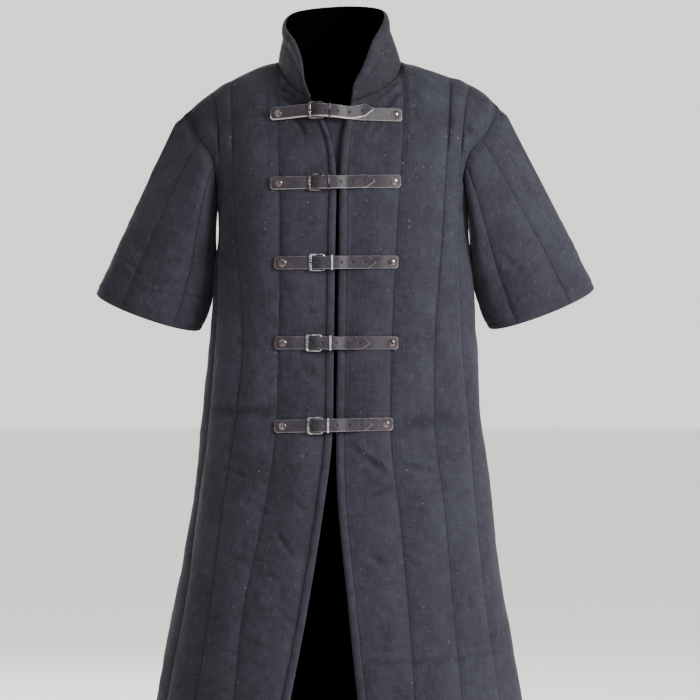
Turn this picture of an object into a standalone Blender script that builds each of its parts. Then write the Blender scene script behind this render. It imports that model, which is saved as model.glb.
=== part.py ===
"""Gambeson: a quilted long coat with half sleeves, a stand collar and five strap-and-buckle closures.

It keeps the hollow form that it has when worn. Metres, +Z up. The front faces -Y and +X is the
wearer's left. The origin lies between the shoulders, level with the foot of the collar.
Every cloth piece is a wall: a plain inner face and an outer face that rises between its stitch lines.
"""
from bisect import bisect_right
from collections import namedtuple
from functools import lru_cache
from math import asin, atan2, copysign, cos, degrees, pi, radians, sin, sqrt

import bmesh
import bpy
from mathutils import Vector
from mathutils.bvhtree import BVHTree

MM = 0.001

# ---- cloth ----
WALL = 4 * MM                 # cloth and wadding where a stitch line pulls them flat
QUILT_RISE = 5.5 * MM         # height of a channel's crest above its stitch lines
ROLL_RISE = 2.5 * MM          # the same on the narrow roll along each front edge
ROLL_WIDTH = 13 * MM
SEAM_SHIFT = 0.2 * MM         # each side of a seam is drawn back this far
NECK_SHIFT = 0.4 * MM         # the same at the foot of the collar
SEAM_FADE = 22 * MM           # a channel dies away over this length before a seam or the hem
PUFF_POWER = 0.65             # 1 is a sine arch, less is a fuller channel with steeper sides
CREASE_ANGLE = 50             # degrees; flatter edges are shaded smooth

# ---- body, as flattened rounds; a row for each height ----
HEM = -1.090
UPPER_START = -0.300          # above this height the columns run to the neck, shoulder and armhole
SECTIONS = (
    # height, middle, half_width, front_depth, back_depth, boxiness (2 is an ellipse, more is squarer)
    (HEM, 0.000, 0.300, 0.196, 0.190, 2.2),
    (-1.018, 0.000, 0.289, 0.188, 0.182, 2.2),
    (-0.922, -0.001, 0.2725, 0.176, 0.170, 2.2),
    (-0.818, 0.0007, 0.2523, 0.163, 0.156, 2.25),
    (-0.707, 0.0048, 0.2358, 0.150, 0.138, 2.3),
    (-0.626, 0.004, 0.2268, 0.142, 0.124, 2.35),
    (-0.560, 0.0028, 0.2182, 0.136, 0.113, 2.4),
    (-0.434, 0.006, 0.2082, 0.134, 0.112, 2.6),
    (UPPER_START, 0.006, 0.200, 0.137, 0.122, 2.9),
)
LOWER_HEIGHTS = (HEM, -1.075, -1.045, -0.98, -0.91, -0.84, -0.77, -0.70, -0.64, -0.59,
                 -0.565, -0.54, -0.48, -0.42, -0.36, UPPER_START)
UNDERARM_ROW = 0.23           # share of the upper part at which the side seam meets the armhole
ARMHOLE_ROWS = (UNDERARM_ROW, 0.26, 0.32, 0.39, 0.47, 0.56, 0.66, 0.78, 1.0)
UPPER_ROWS = (0.115,) + ARMHOLE_ROWS

# ---- where each front's edge and stitch lines lie across the body ----
LEFT_LINES = (
    # height, edge, first, second, third
    (HEM, 0.040, 0.122, 0.198, 0.262),
    (-0.998, 0.028, 0.116, 0.190, 0.249),
    (-0.854, 0.013, 0.106, 0.176, 0.228),
    (-0.700, -0.0026, 0.0916, 0.163, 0.213),
    (-0.598, -0.0058, 0.080, 0.150, 0.205),
    (-0.450, -0.0038, 0.081, 0.148, 0.192),
    (UPPER_START, -0.0016, 0.088, 0.158, 0.186),
)
RIGHT_LINES = (
    # height, edge, first, second, third
    (HEM, -0.095, -0.176, -0.235, -0.283),
    (-0.998, -0.0765, -0.164, -0.222, -0.270),
    (-0.854, -0.049, -0.148, -0.201, -0.243),
    (-0.700, -0.0244, -0.116, -0.182, -0.224),
    (-0.598, -0.012, -0.101, -0.167, -0.210),
    (-0.450, -0.0092, -0.095, -0.151, -0.197),
    (UPPER_START, -0.0070, -0.093, -0.1586, -0.1907),
)
FRONT_LINES = {1: LEFT_LINES, -1: RIGHT_LINES}
EDGE_LEAN = {1: 0.30, -1: -0.62}   # how far each front edge leans outwards at the neck
BACK_LINES = (0.17, 0.48, 0.76, 0.93)   # shares of the half width

# ---- channels of a front and of half a back: stitch lines, segments, and the seam they run up to ----
# lines are counted from the middle edge: 0 edge, 1 roll, 2 first, 3 second, 4 third, 5 side seam
FLANK_LINE = 3
SIDE_LINE = 5
Channel = namedtuple("Channel", "from_line to_line segments phase_from phase_to seam seam_from seam_to")
FRONT_CHANNELS = [Channel(*row) for row in (
    (0, 1, 2, 0.0, 1.0, "neck", 0.0, 0.10),
    (1, 2, 4, 0.0, 1.0, "neck", 0.10, 0.78),
    (2, 3, 1, 0.0, 0.2, "neck", 0.78, 1.0),
    (2, 3, 4, 0.2, 1.0, "shoulder", 0.0, 0.5),
    (3, 4, 4, 0.0, 1.0, "shoulder", 0.5, 0.84),
    (4, 5, 4, 0.0, 1.0, "shoulder", 0.84, 1.0),
)]
BACK_CHANNELS = [Channel(*row) for row in (
    (0, 1, 2, 0.5, 1.0, "nape", 0.0, 0.30),
    (1, 2, 4, 0.0, 1.0, "nape", 0.30, 0.78),
    (2, 3, 1, 0.0, 0.2, "nape", 0.78, 1.0),
    (2, 3, 4, 0.2, 1.0, "shoulder", 0.0, 0.5),
    (3, 4, 4, 0.0, 1.0, "shoulder", 0.5, 0.84),
    (4, 5, 4, 0.0, 1.0, "shoulder", 0.84, 1.0),
)]
FLANK_FULL = 0.6                  # channels narrower than this share of the flank rise less
FLANK_SKEW = 1.3                  # puts the crest of the joined channel nearer the armhole
FLANK_JOIN = 3.5                  # how fast the two outer channels run into one
FLANK_SHARES = (0.5, 0.84, 1.0)   # shoulder shares of the second line, the third and the side

# ---- neck, shoulders and armholes ----
NECK_SEAM = (
    # share round from the wearer's right front, x, y, z
    (0.00, -0.046, -0.118, -0.064),
    (0.12, -0.066, -0.092, -0.050),
    (0.24, -0.088, -0.050, -0.026),
    (0.34, -0.098, 0.000, -0.001),
    (0.42, -0.080, 0.045, 0.012),
    (0.50, 0.000, 0.078, 0.018),
    (0.58, 0.080, 0.045, 0.012),
    (0.66, 0.098, 0.000, -0.001),
    (0.77, 0.088, -0.046, -0.028),
    (0.88, 0.061, -0.086, -0.050),
    (1.00, 0.018, -0.118, -0.070),
)
COLLAR_TOP = (
    # share round from the wearer's right front, x, y, z
    (0.00, -0.058, -0.108, -0.034),
    (0.12, -0.063, -0.085, 0.000),
    (0.24, -0.075, -0.045, 0.033),
    (0.34, -0.091, 0.002, 0.062),
    (0.42, -0.074, 0.050, 0.088),
    (0.50, 0.000, 0.082, 0.100),
    (0.58, 0.063, 0.050, 0.094),
    (0.66, 0.0745, 0.002, 0.074),
    (0.77, 0.055, -0.045, 0.033),
    (0.88, 0.040, -0.080, -0.006),
    (1.00, 0.022, -0.108, -0.041),
)
NECK_SHARE = 0.34             # where the shoulder seam meets the neck seam
NECK_CENTRE_Y = -0.020
NECK_FRONT = (0.050, 0.060)   # the wall turns to face forwards from here, over this depth
NECK_TILT = 0.9               # how far the wall slopes down inwards at the sides and nape
NECK_THICKER = 1.2
FRONT_RISE = (0.6, 1.0)       # how the fronts lean back and rise at the neck
NAPE_RISE = (-0.8, 0.6)       # how the back leans forward and rises at the nape
CURVE_PULL = 1.5              # how strongly the lower body and the seam bend a column
NECK_SLANT = 0.25             # how far the columns beside the neck lean in towards it
NECK_SLOPE = 0.14             # rise of the cloth towards the back beside the neck
SHOULDER_SLOPE = 0.14         # rise of the cloth towards the shoulder seam from both sides
TIP_FLARE = 0.5               # how far the columns beside the armhole lean out to the shoulder tip
SHOULDER_TIPS = {1: Vector((0.254, 0.0, -0.0705)), -1: Vector((-0.250, 0.0, -0.083))}
SHOULDER_STRAIGHT = {1: 0.56, -1: 0.35}   # share of a shoulder's fall that is even, the rest rounds it over
SHOULDER_ROUNDS = {1: 5.0, -1: 2.2}       # how late that rest comes
ARMHOLE_DEPTH = 0.068
ARMHOLE_CUT = (
    # share of the upper part, how far across the flank the cloth reaches: right front, left front, back
    (UNDERARM_ROW, 1.0, 1.0, 1.0),
    (0.26, 0.66, 0.74, 0.74),
    (0.32, 0.38, 0.52, 0.48),
    (0.39, 0.24, 0.38, 0.34),
    (0.47, 0.22, 0.35, 0.31),
    (0.56, 0.30, 0.42, 0.38),
    (0.66, 0.42, 0.52, 0.49),
    (0.78, 0.58, 0.66, 0.64),
    (1.0, 1.0, 1.0, 1.0),
)
ARMHOLE_LINE = {
    # side: (share of the upper part, x, z) along the armhole's edge
    -1: (
        (UNDERARM_ROW, -0.1952, -0.2188),
        (0.26, -0.1951, -0.2123),
        (0.32, -0.1969, -0.1887),
        (0.39, -0.1990, -0.1658),
        (0.47, -0.2058, -0.1467),
        (0.56, -0.2145, -0.1325),
        (0.66, -0.2232, -0.1190),
        (0.78, -0.2325, -0.1039),
        (0.88, -0.2400, -0.0924),
        (1.0, -0.2500, -0.0830),
    ),
    1: (
        (UNDERARM_ROW, 0.2050, -0.2180),
        (0.26, 0.2010, -0.2068),
        (0.32, 0.1960, -0.1879),
        (0.39, 0.1982, -0.1665),
        (0.47, 0.2050, -0.1475),
        (0.56, 0.2164, -0.1317),
        (0.66, 0.2283, -0.1190),
        (0.78, 0.2388, -0.1031),
        (0.88, 0.2459, -0.0884),
        (1.0, 0.2540, -0.0705),
    ),
}
ARMHOLE_END = 0.03            # over this share at both ends the edge goes over into its end points
THIRD_LINE = (
    # share of the upper part, where the third stitch line lies between the second line and the edge
    (0.0, 0.50),
    (UNDERARM_ROW, 0.50),
    (0.32, 0.68),
    (0.39, 0.76),
    (0.47, 0.68),
    (0.56, 0.56),
    (0.66, 0.47),
    (0.78, 0.38),
    (1.0, 0.28),
)
FLANK_PART = (0.36, 0.10)     # above this share, and over this one, the two channels part again
ARMHOLE_CENTRE_X = 0.222
UNDERARM_PART = (160, 75)     # degrees from the tip where body and sleeve part, and over how many
PRESSED = 0.15                # share of a channel's rise that is left under the arm
PRESSED_REACH = 0.050
PRESSED_FADE = 0.070

# ---- sleeves ----
CUFFS = {
    # side: (outer x, outer z, inner x, inner z)
    1: (0.407, -0.359, 0.240, -0.4234),
    -1: (-0.390, -0.368, -0.225, -0.426),
}
CUFF_DEPTH = 0.0625
CUFF_DROOP = 0.012            # the front of the cuff hangs lower than its sides
SLEEVE_CHANNELS = (
    # from turn, to turn, segments: degrees round the cuff from its outer side
    (0, 60, 5),
    (60, 120, 5),
    (120, 180, 6),
)
SLEEVE_ROWS = (0.0, 0.05, 0.12, 0.22, 0.34, 0.48, 0.62, 0.76, 0.88, 0.96, 1.0)
SLEEVE_RISE = 5 * MM
SLEEVE_LEAVES_TOP = (0.42, -0.80)      # x and z direction at the shoulder tip
SLEEVE_LEAVES_UNDER = (0.30, -1.0)     # the same under the arm
SLEEVE_ARRIVES = (0.40, -0.90)         # the same at the cuff
SLEEVE_CAP = 7 * MM                    # how far the head of the sleeve stands out at once
SLEEVE_CAP_WAY = (0.89, 0.46)          # which way it does
SLEEVE_CAP_STEP = 0.07                 # share of the sleeve's length over which it comes
SLEEVE_CAP_FALL = 1.45                 # how fast it goes again towards the cuff
SLEEVE_SPREAD = 0.42                   # how far it widens in depth as it leaves the armhole
SLEEVE_TURN = 0.7                      # how soon going round the armhole the top direction takes over

# ---- collar ----
COLLAR_WALL = 7 * MM
COLLAR_ROUND = 0.28           # share of the wall by which its top edge is rounded on each face
COLLAR_RISE = 3.0 * MM
COLLAR_ROWS = (0.0, 0.14, 0.4, 0.66, 0.8, 0.93, 1.0)
COLLAR_RIM = 0.66             # share of the height at which the padded rim starts
COLLAR_BELLY = (
    # share round, how far the collar curves out half way up: inwards at the sides
    (0.0, 2 * MM),
    (0.34, -3.2 * MM),
    (0.5, 3 * MM),
    (0.66, -3.4 * MM),
    (1.0, 2 * MM),
)
COLLAR_CENTRE_Y = -0.03
COLLAR_END = 0.10             # share of the neck seam over which the padding thins towards each end

# ---- strip behind the front edges at the neck ----
UNDERLAP_WALL = 3 * MM
UNDERLAP_SPANS = 6
UNDERLAP_CHECKS = 24          # rows and columns of places at which its gap to the fronts is felt
UNDERLAP = (
    # height, right x, left x
    (-0.200, -0.016, 0.014),
    (-0.170, -0.020, 0.014),
    (-0.140, -0.026, 0.015),
    (-0.110, -0.033, 0.015),
    (-0.080, -0.040, 0.016),
)

# ---- the largest folds: troughs across the waist ----
FOLDS = (
    # from x, from z, to x, to z, depth, half_width
    (-0.205, -0.552, -0.100, -0.560, 4 * MM, 22 * MM),
    (0.082, -0.578, 0.210, -0.566, 4 * MM, 22 * MM),
)

# ---- fastenings ----
LEATHER = 2 * MM
STRAP_WIDTH = 20 * MM
CLEAR = 0.3 * MM
BAR_RADIUS = 1.3 * MM
BUCKLE_LENGTH = 24 * MM       # along the strap
BUCKLE_WIDTH = 27 * MM
BUCKLE_CORNER = 4 * MM
PRONG_RADIUS = 0.9 * MM
KEEPER_WIDTH = 3 * MM
FOLD_LENGTH = 18 * MM         # how far the chape's folded end comes back
TIP_LENGTH = 12 * MM
RIVET_RADIUS = 6.2 * MM
RIVET_HEIGHT = 2.4 * MM
RIVET_INSETS = (12 * MM, 10.5 * MM)   # from the strap's right end and from its left end
RIVET_SIDES = 10
RIVET_PROFILE = (
    # share of the radius, share of the height
    (1.0, 0.0),
    (1.0, 0.25),
    (0.82, 0.65),
    (0.45, 0.93),
)
KEEPER_BAND = 1.1 * MM
END_CORNER = 4.5 * MM
END_STEPS = (0, 0.4 * MM, 1.3 * MM, 2.7 * MM, 4.5 * MM)   # cuts along a strap's end
TIP_HALF_WIDTH = 1.5 * MM
BOW_REACH = 0.075             # a strap rises towards its buckle over this length on both sides
FELT_BAND = STRAP_WIDTH * 0.6 # the padding that carries a strap, above and below its middle
FELT_ROWS = 9
HALF_REACH = 0.4              # in front of everything, where the padding is felt from
PADDING_GAP = 0.3 * MM        # room over the padding on top of the straps' own clearance
ROUTE_APART = 1.2 * MM        # bends of a strap that lie closer together than this count as one
Strap = namedtuple("Strap", "right_x left_x right_z left_z buckle_x keeper tip_x bow tip_lift")
STRAPS = [Strap(*row) for row in (
    (-0.108, 0.097, -0.0875, -0.0895, -0.036, 9.4 * MM, 0.050, 5 * MM, 4 * MM),
    (-0.1075, 0.095, -0.198, -0.195, -0.037, 9.8 * MM, 0.054, 0.0, 1 * MM),
    (-0.101, 0.091, -0.3225, -0.321, -0.035, 12.6 * MM, 0.056, 0.0, 0.0),
    (-0.101, 0.091, -0.447, -0.447, -0.040, 15.2 * MM, 0.047, 0.0, 0.0),
    (-0.101, 0.0825, -0.577, -0.573, -0.038, 9.4 * MM, 0.050, 0.0, 0.0),
)]


# ---------------------------------------------------------------- curves and tables
def blend(a, b, share):
    return a + (b - a) * share


def ease(share):
    share = min(1.0, max(0.0, share))
    return share * share * (3 - 2 * share)


def hermite(start, start_slope, end, end_slope, t):
    """Cubic between two ends with a slope at each; works on numbers and on vectors."""
    square, cube = t * t, t * t * t
    return (start * (2 * cube - 3 * square + 1) + start_slope * (cube - 2 * square + t)
            + end * (3 * square - 2 * cube) + end_slope * (cube - square))


def read_table(table, key):
    """The values of a table's row at a key between its rows, on a smooth curve through them."""
    keys = [row[0] for row in table]
    low = min(len(table) - 2, max(0, bisect_right(keys, key) - 1))
    span = keys[low + 1] - keys[low]

    def slope(index, column):
        before, after = max(index - 1, 0), min(index + 1, len(table) - 1)
        return (table[after][column] - table[before][column]) / (keys[after] - keys[before]) * span

    return [hermite(table[low][column], slope(low, column), table[low + 1][column], slope(low + 1, column),
                    (key - keys[low]) / span) for column in range(1, len(table[0]))]


# ---------------------------------------------------------------- the body's form and its seams
def body_point(height, angle, is_back):
    """A point on the coat's body; angle is 0 at the middle and a quarter turn at a side seam."""
    middle, half_width, front_depth, back_depth, boxiness = section(height)
    power = 2 / boxiness
    across = copysign(abs(sin(angle)) ** power, angle)
    depth = max(0.0, cos(angle)) ** power
    return Vector((middle + half_width * across, depth * (back_depth if is_back else -front_depth), height))


@lru_cache(maxsize=None)
def section(height):
    return read_table(SECTIONS, height)


def angle_at(height, share):
    """The angle at which the body reaches a share of its half width."""
    return copysign(asin(min(1.0, abs(share)) ** (section(height)[-1] / 2)), share)


@lru_cache(maxsize=None)
def line_angles(side, height, is_back):
    """The angles of a half body's stitch lines, from its middle edge to the side seam."""
    if is_back:
        return [0.0] + [side * angle_at(height, share) for share in BACK_LINES] + [side * pi / 2]
    middle, half_width = section(height)[:2]
    edge, first, second, third = read_table(FRONT_LINES[side], height)
    places = (edge, edge + side * ROLL_WIDTH, first, second, third)
    return [angle_at(height, (x - middle) / half_width) for x in places] + [side * pi / 2]


def neck_point(share):
    return Vector(read_table(NECK_SEAM, share))


def neck_through(share):
    """The way through the cloth at the neck seam, for the collar and the body alike."""
    point = neck_point(share)
    towards = (Vector((0.0, NECK_CENTRE_Y, point.z)) - point).normalized()
    turns_from, turns_over = NECK_FRONT
    frontness = ease((-point.y - turns_from) / turns_over)
    flat = blend(towards, Vector((0, 1, 0)), frontness)
    return (flat + Vector((0, 0, -NECK_TILT * (1 - frontness)))).normalized() * NECK_THICKER


def shoulder_point(side, share):
    neck = neck_point(NECK_SHARE if side < 0 else 1 - NECK_SHARE)
    tip = SHOULDER_TIPS[side]
    fall = blend(share ** SHOULDER_ROUNDS[side], share, SHOULDER_STRAIGHT[side])
    return Vector((blend(neck.x, tip.x, share), 0.0, blend(neck.z, tip.z, fall)))


def shoulder_through(side, share):
    step = 0.02
    along = shoulder_point(side, min(1, share + step)) - shoulder_point(side, max(0, share - step))
    return Vector((along.z, 0, -along.x)).normalized() * side


def seam_stop(side, seam, amount, is_back):
    """Where a column ends: the seam's point, the column's direction there and the way through."""
    beside_neck = 1 - ease(amount / 0.5) if seam == "shoulder" else 1
    beside_tip = ease((amount - FLANK_SHARES[1]) / (1 - FLANK_SHARES[1])) if seam == "shoulder" else 0
    slant = side * (TIP_FLARE * beside_tip - NECK_SLANT * beside_neck)
    beside_slope = -NECK_SLOPE if is_back else NECK_SLOPE
    over = Vector((slant, -1 if is_back else 1, blend(SHOULDER_SLOPE, beside_slope, beside_neck)))
    if seam == "shoulder":
        point = shoulder_point(side, amount) - Vector((0, over.y * SEAM_SHIFT, 0))
        return point, over, shoulder_through(side, amount)
    share = NECK_SHARE * amount if seam == "neck" else blend(0.5, NECK_SHARE, amount)
    share = share if side < 0 else 1 - share
    rise = Vector((EDGE_LEAN[side], *FRONT_RISE)) if seam == "neck" else Vector((0, *NAPE_RISE))
    point = neck_point(share) - Vector((0, 0, NECK_SHIFT))
    return point, blend(rise, over, ease(amount)), neck_through(share)


def rising_curve(lower, stop):
    """A column's curve from the top of the lower body up to its seam, as a function of t."""
    start, step = lower(UPPER_START), 0.01
    top, direction, _ = stop
    reach = top - start
    rise = (start - lower(UPPER_START - step)).normalized() * reach.z * CURVE_PULL
    arrive = Vector((direction.x * reach.z, direction.y * abs(reach.y) * CURVE_PULL, direction.z * reach.z))
    return lambda t: hermite(start, rise, top, arrive, t)


@lru_cache(maxsize=None)
def flank_curve(side, across, is_back):
    """A curve of the upper body; across is 0 at the second stitch line and 1 at the side seam."""
    low = min(1, int(across * 2))
    share = across * 2 - low

    def lower(height):
        angles = line_angles(side, height, is_back)
        from_angle, to_angle = angles[FLANK_LINE + low:][:2]
        return body_point(height, blend(from_angle, to_angle, share), is_back)

    shoulder_share = blend(FLANK_SHARES[low], FLANK_SHARES[low + 1], share)
    return rising_curve(lower, seam_stop(side, "shoulder", shoulder_share, is_back))


@lru_cache(maxsize=None)
def armhole_span(side):
    """The heights of the armhole's middle and of half its opening."""
    low = flank_curve(side, 1.0, False)(UNDERARM_ROW).z
    high = SHOULDER_TIPS[side].z
    return (high + low) / 2, (high - low) / 2


def armhole_limit(side, t, is_back):
    """How far across the flank a row of the upper part reaches before it meets the armhole."""
    if t < UNDERARM_ROW:
        return 1.0
    right_front, left_front, back = read_table(ARMHOLE_CUT, t)
    return back if is_back else left_front if side > 0 else right_front


@lru_cache(maxsize=None)
def armhole_shift(side, t, is_back):
    """How far a row's outer end is drawn across to the armhole's edge."""
    if t < UNDERARM_ROW:
        return Vector((0, 0, 0))
    own = flank_curve(side, armhole_limit(side, t, is_back), is_back)(t)
    x, z = read_table(ARMHOLE_LINE[side], t)
    fade = ease((t - UNDERARM_ROW) / ARMHOLE_END) * ease((1 - t) / ARMHOLE_END)
    return Vector((x - own.x, 0, z - own.z)) * fade


def flank_point(side, place, t, is_back):
    """A point of the upper flank; place is 0 at the second stitch line and 1 at the flank's edge."""
    third = read_table(THIRD_LINE, t)[0]
    place = 2 * place * third if place < 0.5 else blend(third, 1.0, 2 * place - 1)
    point = flank_curve(side, place * armhole_limit(side, t, is_back), is_back)(t)
    return point + armhole_shift(side, t, is_back) * place ** 2


def flank_top(place):
    """The share of the shoulder seam at which a column of the flank ends."""
    third = THIRD_LINE[-1][1]
    place = 2 * place * third if place < 0.5 else blend(third, 1.0, 2 * place - 1)
    low = min(1, int(place * 2))
    return blend(FLANK_SHARES[low], FLANK_SHARES[low + 1], place * 2 - low)


def armhole_point(side, t, is_back):
    """The armhole's point at the end of one row of the upper body."""
    point = flank_point(side, 1.0, t, is_back)
    return Vector((point.x, 0, point.z)) if t in (UNDERARM_ROW, 1.0) else point


def armhole_through(side, point, is_sleeve):
    """The way through the cloth at the armhole; under the arm body and sleeve part like a V."""
    middle, half_height = armhole_span(side)
    towards = (Vector((side * ARMHOLE_CENTRE_X, 0, middle)) - point).normalized()
    sideways = Vector((side if is_sleeve else -side, 0, 0))
    from_tip = degrees(atan2(abs(point.y) / ARMHOLE_DEPTH, (point.z - middle) / half_height))
    parts_at, parts_over = UNDERARM_PART
    return blend(sideways, towards, ease((parts_at - from_tip) / parts_over)).normalized()


# ---------------------------------------------------------------- walls
def grid_normals(grid, facing, is_tube):
    """The outward direction at every point of a grid of rows and columns."""
    rows, columns = len(grid), len(grid[0])
    normals = []
    for r in range(rows):
        below, above = grid[max(r - 1, 0)], grid[min(r + 1, rows - 1)]
        line = []
        for c in range(columns):
            before = (c - 1) % columns if is_tube else max(c - 1, 0)
            after = (c + 1) % columns if is_tube else min(c + 1, columns - 1)
            line.append((grid[r][after] - grid[r][before]).cross(above[c] - below[c]).normalized() * facing)
        normals.append(line)
    return normals


def mesh_object(name, vertices, faces, material):
    """A closed body with its faces turned outwards."""
    mesh = bpy.data.meshes.new(name)
    shape = bmesh.new()
    points = [shape.verts.new(vertex) for vertex in vertices]
    for face in faces:
        shape.faces.new([points[index] for index in face])
    bmesh.ops.recalc_face_normals(shape, faces=shape.faces)
    shape.to_mesh(mesh)
    shape.free()
    mesh.materials.append(material)
    mesh.shade_smooth()
    mesh.set_sharp_from_angle(angle=radians(CREASE_ANGLE))
    piece = bpy.data.objects.new(name, mesh)
    bpy.context.scene.collection.objects.link(piece)
    return piece


def wall(name, outer, inner, material, is_tube=False):
    """Closes an outer and an inner grid of points into one wall of cloth."""
    rows, columns = len(outer), len(outer[0])
    vertices = [point for grid in (outer, inner) for line in grid for point in line]
    spans = columns if is_tube else columns - 1

    def at(is_inner, r, c):
        return (rows if is_inner else 0) * columns + r * columns + c % columns

    def split(a, b, c, d):
        return [(a, b, c), (a, c, d)]

    faces = []
    for is_inner in (False, True):
        for r in range(rows - 1):
            for c in range(spans):
                corners = [at(is_inner, r, c), at(is_inner, r, c + 1),
                           at(is_inner, r + 1, c + 1), at(is_inner, r + 1, c)]
                faces += split(*corners)
    for r in (0, rows - 1):
        for c in range(spans):
            faces += split(at(False, r, c), at(False, r, c + 1), at(True, r, c + 1), at(True, r, c))
    for c in () if is_tube else (0, columns - 1):
        for r in range(rows - 1):
            faces += split(at(False, r, c), at(False, r + 1, c), at(True, r + 1, c), at(True, r, c))
    return mesh_object(name, vertices, faces, material)


def puff(phase):
    """The rounded height of a channel between two stitch lines, from 0 to 1 and back."""
    return max(0.0, sin(pi * phase)) ** PUFF_POWER


def fold_depth(point):
    """How far the largest folds draw the cloth in at a point."""
    depth = 0.0
    for from_x, from_z, to_x, to_z, deepest, half_width in FOLDS:
        run = Vector((to_x - from_x, to_z - from_z))
        offset = Vector((point.x - from_x, point.z - from_z))
        share = offset.dot(run) / run.length_squared
        distance = abs(offset.x * run.y - offset.y * run.x) / run.length
        fade = ease(share / 0.25) * ease((1 - share) / 0.25)
        depth += deepest * fade * ease(1 - distance / half_width)
    return depth


# ---------------------------------------------------------------- body panels
def panel_columns(channels):
    """Every column of a panel: its channel's row, its phase across the channel and its place on the seam."""
    columns = []
    for channel in channels:
        last = 1 if channel is channels[-1] else 0
        for step in range(channel.segments + last):
            share = step / channel.segments
            phase = blend(channel.phase_from, channel.phase_to, share)
            columns.append((channel, phase, blend(channel.seam_from, channel.seam_to, share)))
    return columns


def column_points(side, channel, phase, seam_place, is_back):
    """One column from the hem to its seam, with the way through the cloth at its top."""
    start = 0.5 if is_back and channel.from_line == 0 else 0.0
    share = (phase - start) / (1 - start)

    def lower(height):
        angles = line_angles(side, height, is_back)
        from_angle, to_angle = angles[channel.from_line], angles[channel.to_line]
        return body_point(height, blend(from_angle, to_angle, share), is_back)

    points = [lower(height) for height in LOWER_HEIGHTS]
    stop = seam_stop(side, channel.seam, seam_place, is_back)
    if channel.from_line < FLANK_LINE:
        curve = rising_curve(lower, stop)
        points += [curve(t) for t in UPPER_ROWS]
    else:
        place = flank_place(channel, phase)
        points += [flank_point(side, place, t, is_back) for t in UPPER_ROWS]
        stop = seam_stop(side, "shoulder", flank_top(place), is_back)
    return points, stop[2]


def flank_place(channel, phase):
    """How far a column lies across the flank: 0 at the second stitch line and 1 at the side seam."""
    return (channel.from_line - FLANK_LINE + phase) / (SIDE_LINE - FLANK_LINE)


def quilt_height(side, channel, phase, t, is_back):
    """How far a channel's outer face rises; beside the armhole two channels run into one."""
    height = puff(phase)
    if channel.from_line >= FLANK_LINE and t > 0:
        joined = puff(flank_place(channel, phase) ** FLANK_SKEW)
        narrowed = min(1.0, armhole_limit(side, t, is_back) / FLANK_FULL)
        part_from, part_over = FLANK_PART
        joins = ease(t * FLANK_JOIN) * (1 - ease((t - part_from) / part_over))
        height = blend(height, joined * narrowed, joins)
    return height * (ROLL_RISE if channel.from_line == 0 and not is_back else QUILT_RISE)


def squeeze(side, point):
    """Below the arm the wadding is pressed flat."""
    away = (point - armhole_point(side, UNDERARM_ROW, False)).length
    return blend(PRESSED, 1.0, ease((away - PRESSED_REACH) / PRESSED_FADE))


def quilted_panel(name, columns, facing, is_back, material):
    """A body panel from its columns: an inner face and an outer face raised between the stitch lines."""
    drawn = [column_points(*column, is_back) for column in columns]
    grid = [list(line) for line in zip(*(points for points, _ in drawn))]
    normals = grid_normals(grid, facing, False)
    first_upper, last = len(LOWER_HEIGHTS), len(grid) - 1
    edges = {columns[0][0]: 0, columns[-1][0]: len(columns) - 1}
    outer, inner = [], []
    for r, line in enumerate(grid):
        t = UPPER_ROWS[r - first_upper] if r >= first_upper else 0.0
        outer_line, inner_line = [], []
        for c, point in enumerate(line):
            side, channel, phase, _ = columns[c]
            fade = sqrt(ease((grid[last][c] - point).length / SEAM_FADE) * ease((point.z - HEM) / SEAM_FADE))
            if channel.from_line >= FLANK_LINE and t > UNDERARM_ROW:
                fade *= ease((line[edges[side]] - point).length / SEAM_FADE)
            fade *= squeeze(side, point)
            height = quilt_height(side, channel, phase, t, is_back) * fade
            trough = 0.0 if is_back else fold_depth(point)
            outwards = normals[r][c]
            inwards = drawn[c][1] if r == last else -outwards
            if channel.to_line == SIDE_LINE and phase == 1.0:
                point, inwards = side_edge(side, point, t, is_back)
                outwards, height, trough = -inwards, 0.0, 0.0
            outer_line.append(point + outwards * (height - trough))
            inner_line.append(point + inwards * WALL - outwards * trough)
        outer.append(outer_line)
        inner.append(inner_line)
    return wall(name, outer, inner, material)


def side_edge(side, point, t, is_back):
    """Draws a panel's side edge back from its seam and gives the way through the cloth there."""
    back_shift = Vector((0, SEAM_SHIFT if is_back else -SEAM_SHIFT, 0))
    if t < UNDERARM_ROW:
        return point + back_shift, Vector((-side, 0, 0))
    seam_point = armhole_point(side, t, is_back)
    through = armhole_through(side, seam_point, False)
    if t in (UNDERARM_ROW, 1.0):
        seam_point = seam_point + back_shift
    return seam_point - Vector((side * SEAM_SHIFT, 0, 0)), through


def make_front(side, material):
    name = "front_left" if side > 0 else "front_right"
    columns = [(side, *column) for column in panel_columns(FRONT_CHANNELS)]
    return quilted_panel(name, columns, side, False, material)


def make_back(material):
    half = panel_columns(BACK_CHANNELS)
    columns = [(-1, *column) for column in reversed(half[1:])] + [(1, *column) for column in half]
    return quilted_panel("back", columns, -1, True, material)


# ---------------------------------------------------------------- sleeves
def cuff_point(side, turn):
    outer_x, outer_z, inner_x, inner_z = CUFFS[side]
    outer, inner = Vector((outer_x, 0, outer_z)), Vector((inner_x, 0, inner_z))
    angle = radians(turn)
    return (outer + inner) / 2 + (outer - inner) / 2 * cos(angle) + Vector(
        (0, -CUFF_DEPTH, -CUFF_DROOP)) * sin(angle)


def armhole_ring(side):
    """The armhole from the shoulder tip round the front, under the arm and up the back, edge by edge."""
    front = [armhole_point(side, t, False) for t in reversed(ARMHOLE_ROWS)]
    back = [armhole_point(side, t, True) for t in ARMHOLE_ROWS]
    corners = front + back[1:-1]
    ring = []
    for corner, follow in zip(corners, corners[1:] + corners[:1]):
        ring += [corner, (corner + follow) / 2]
    return ring


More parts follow.
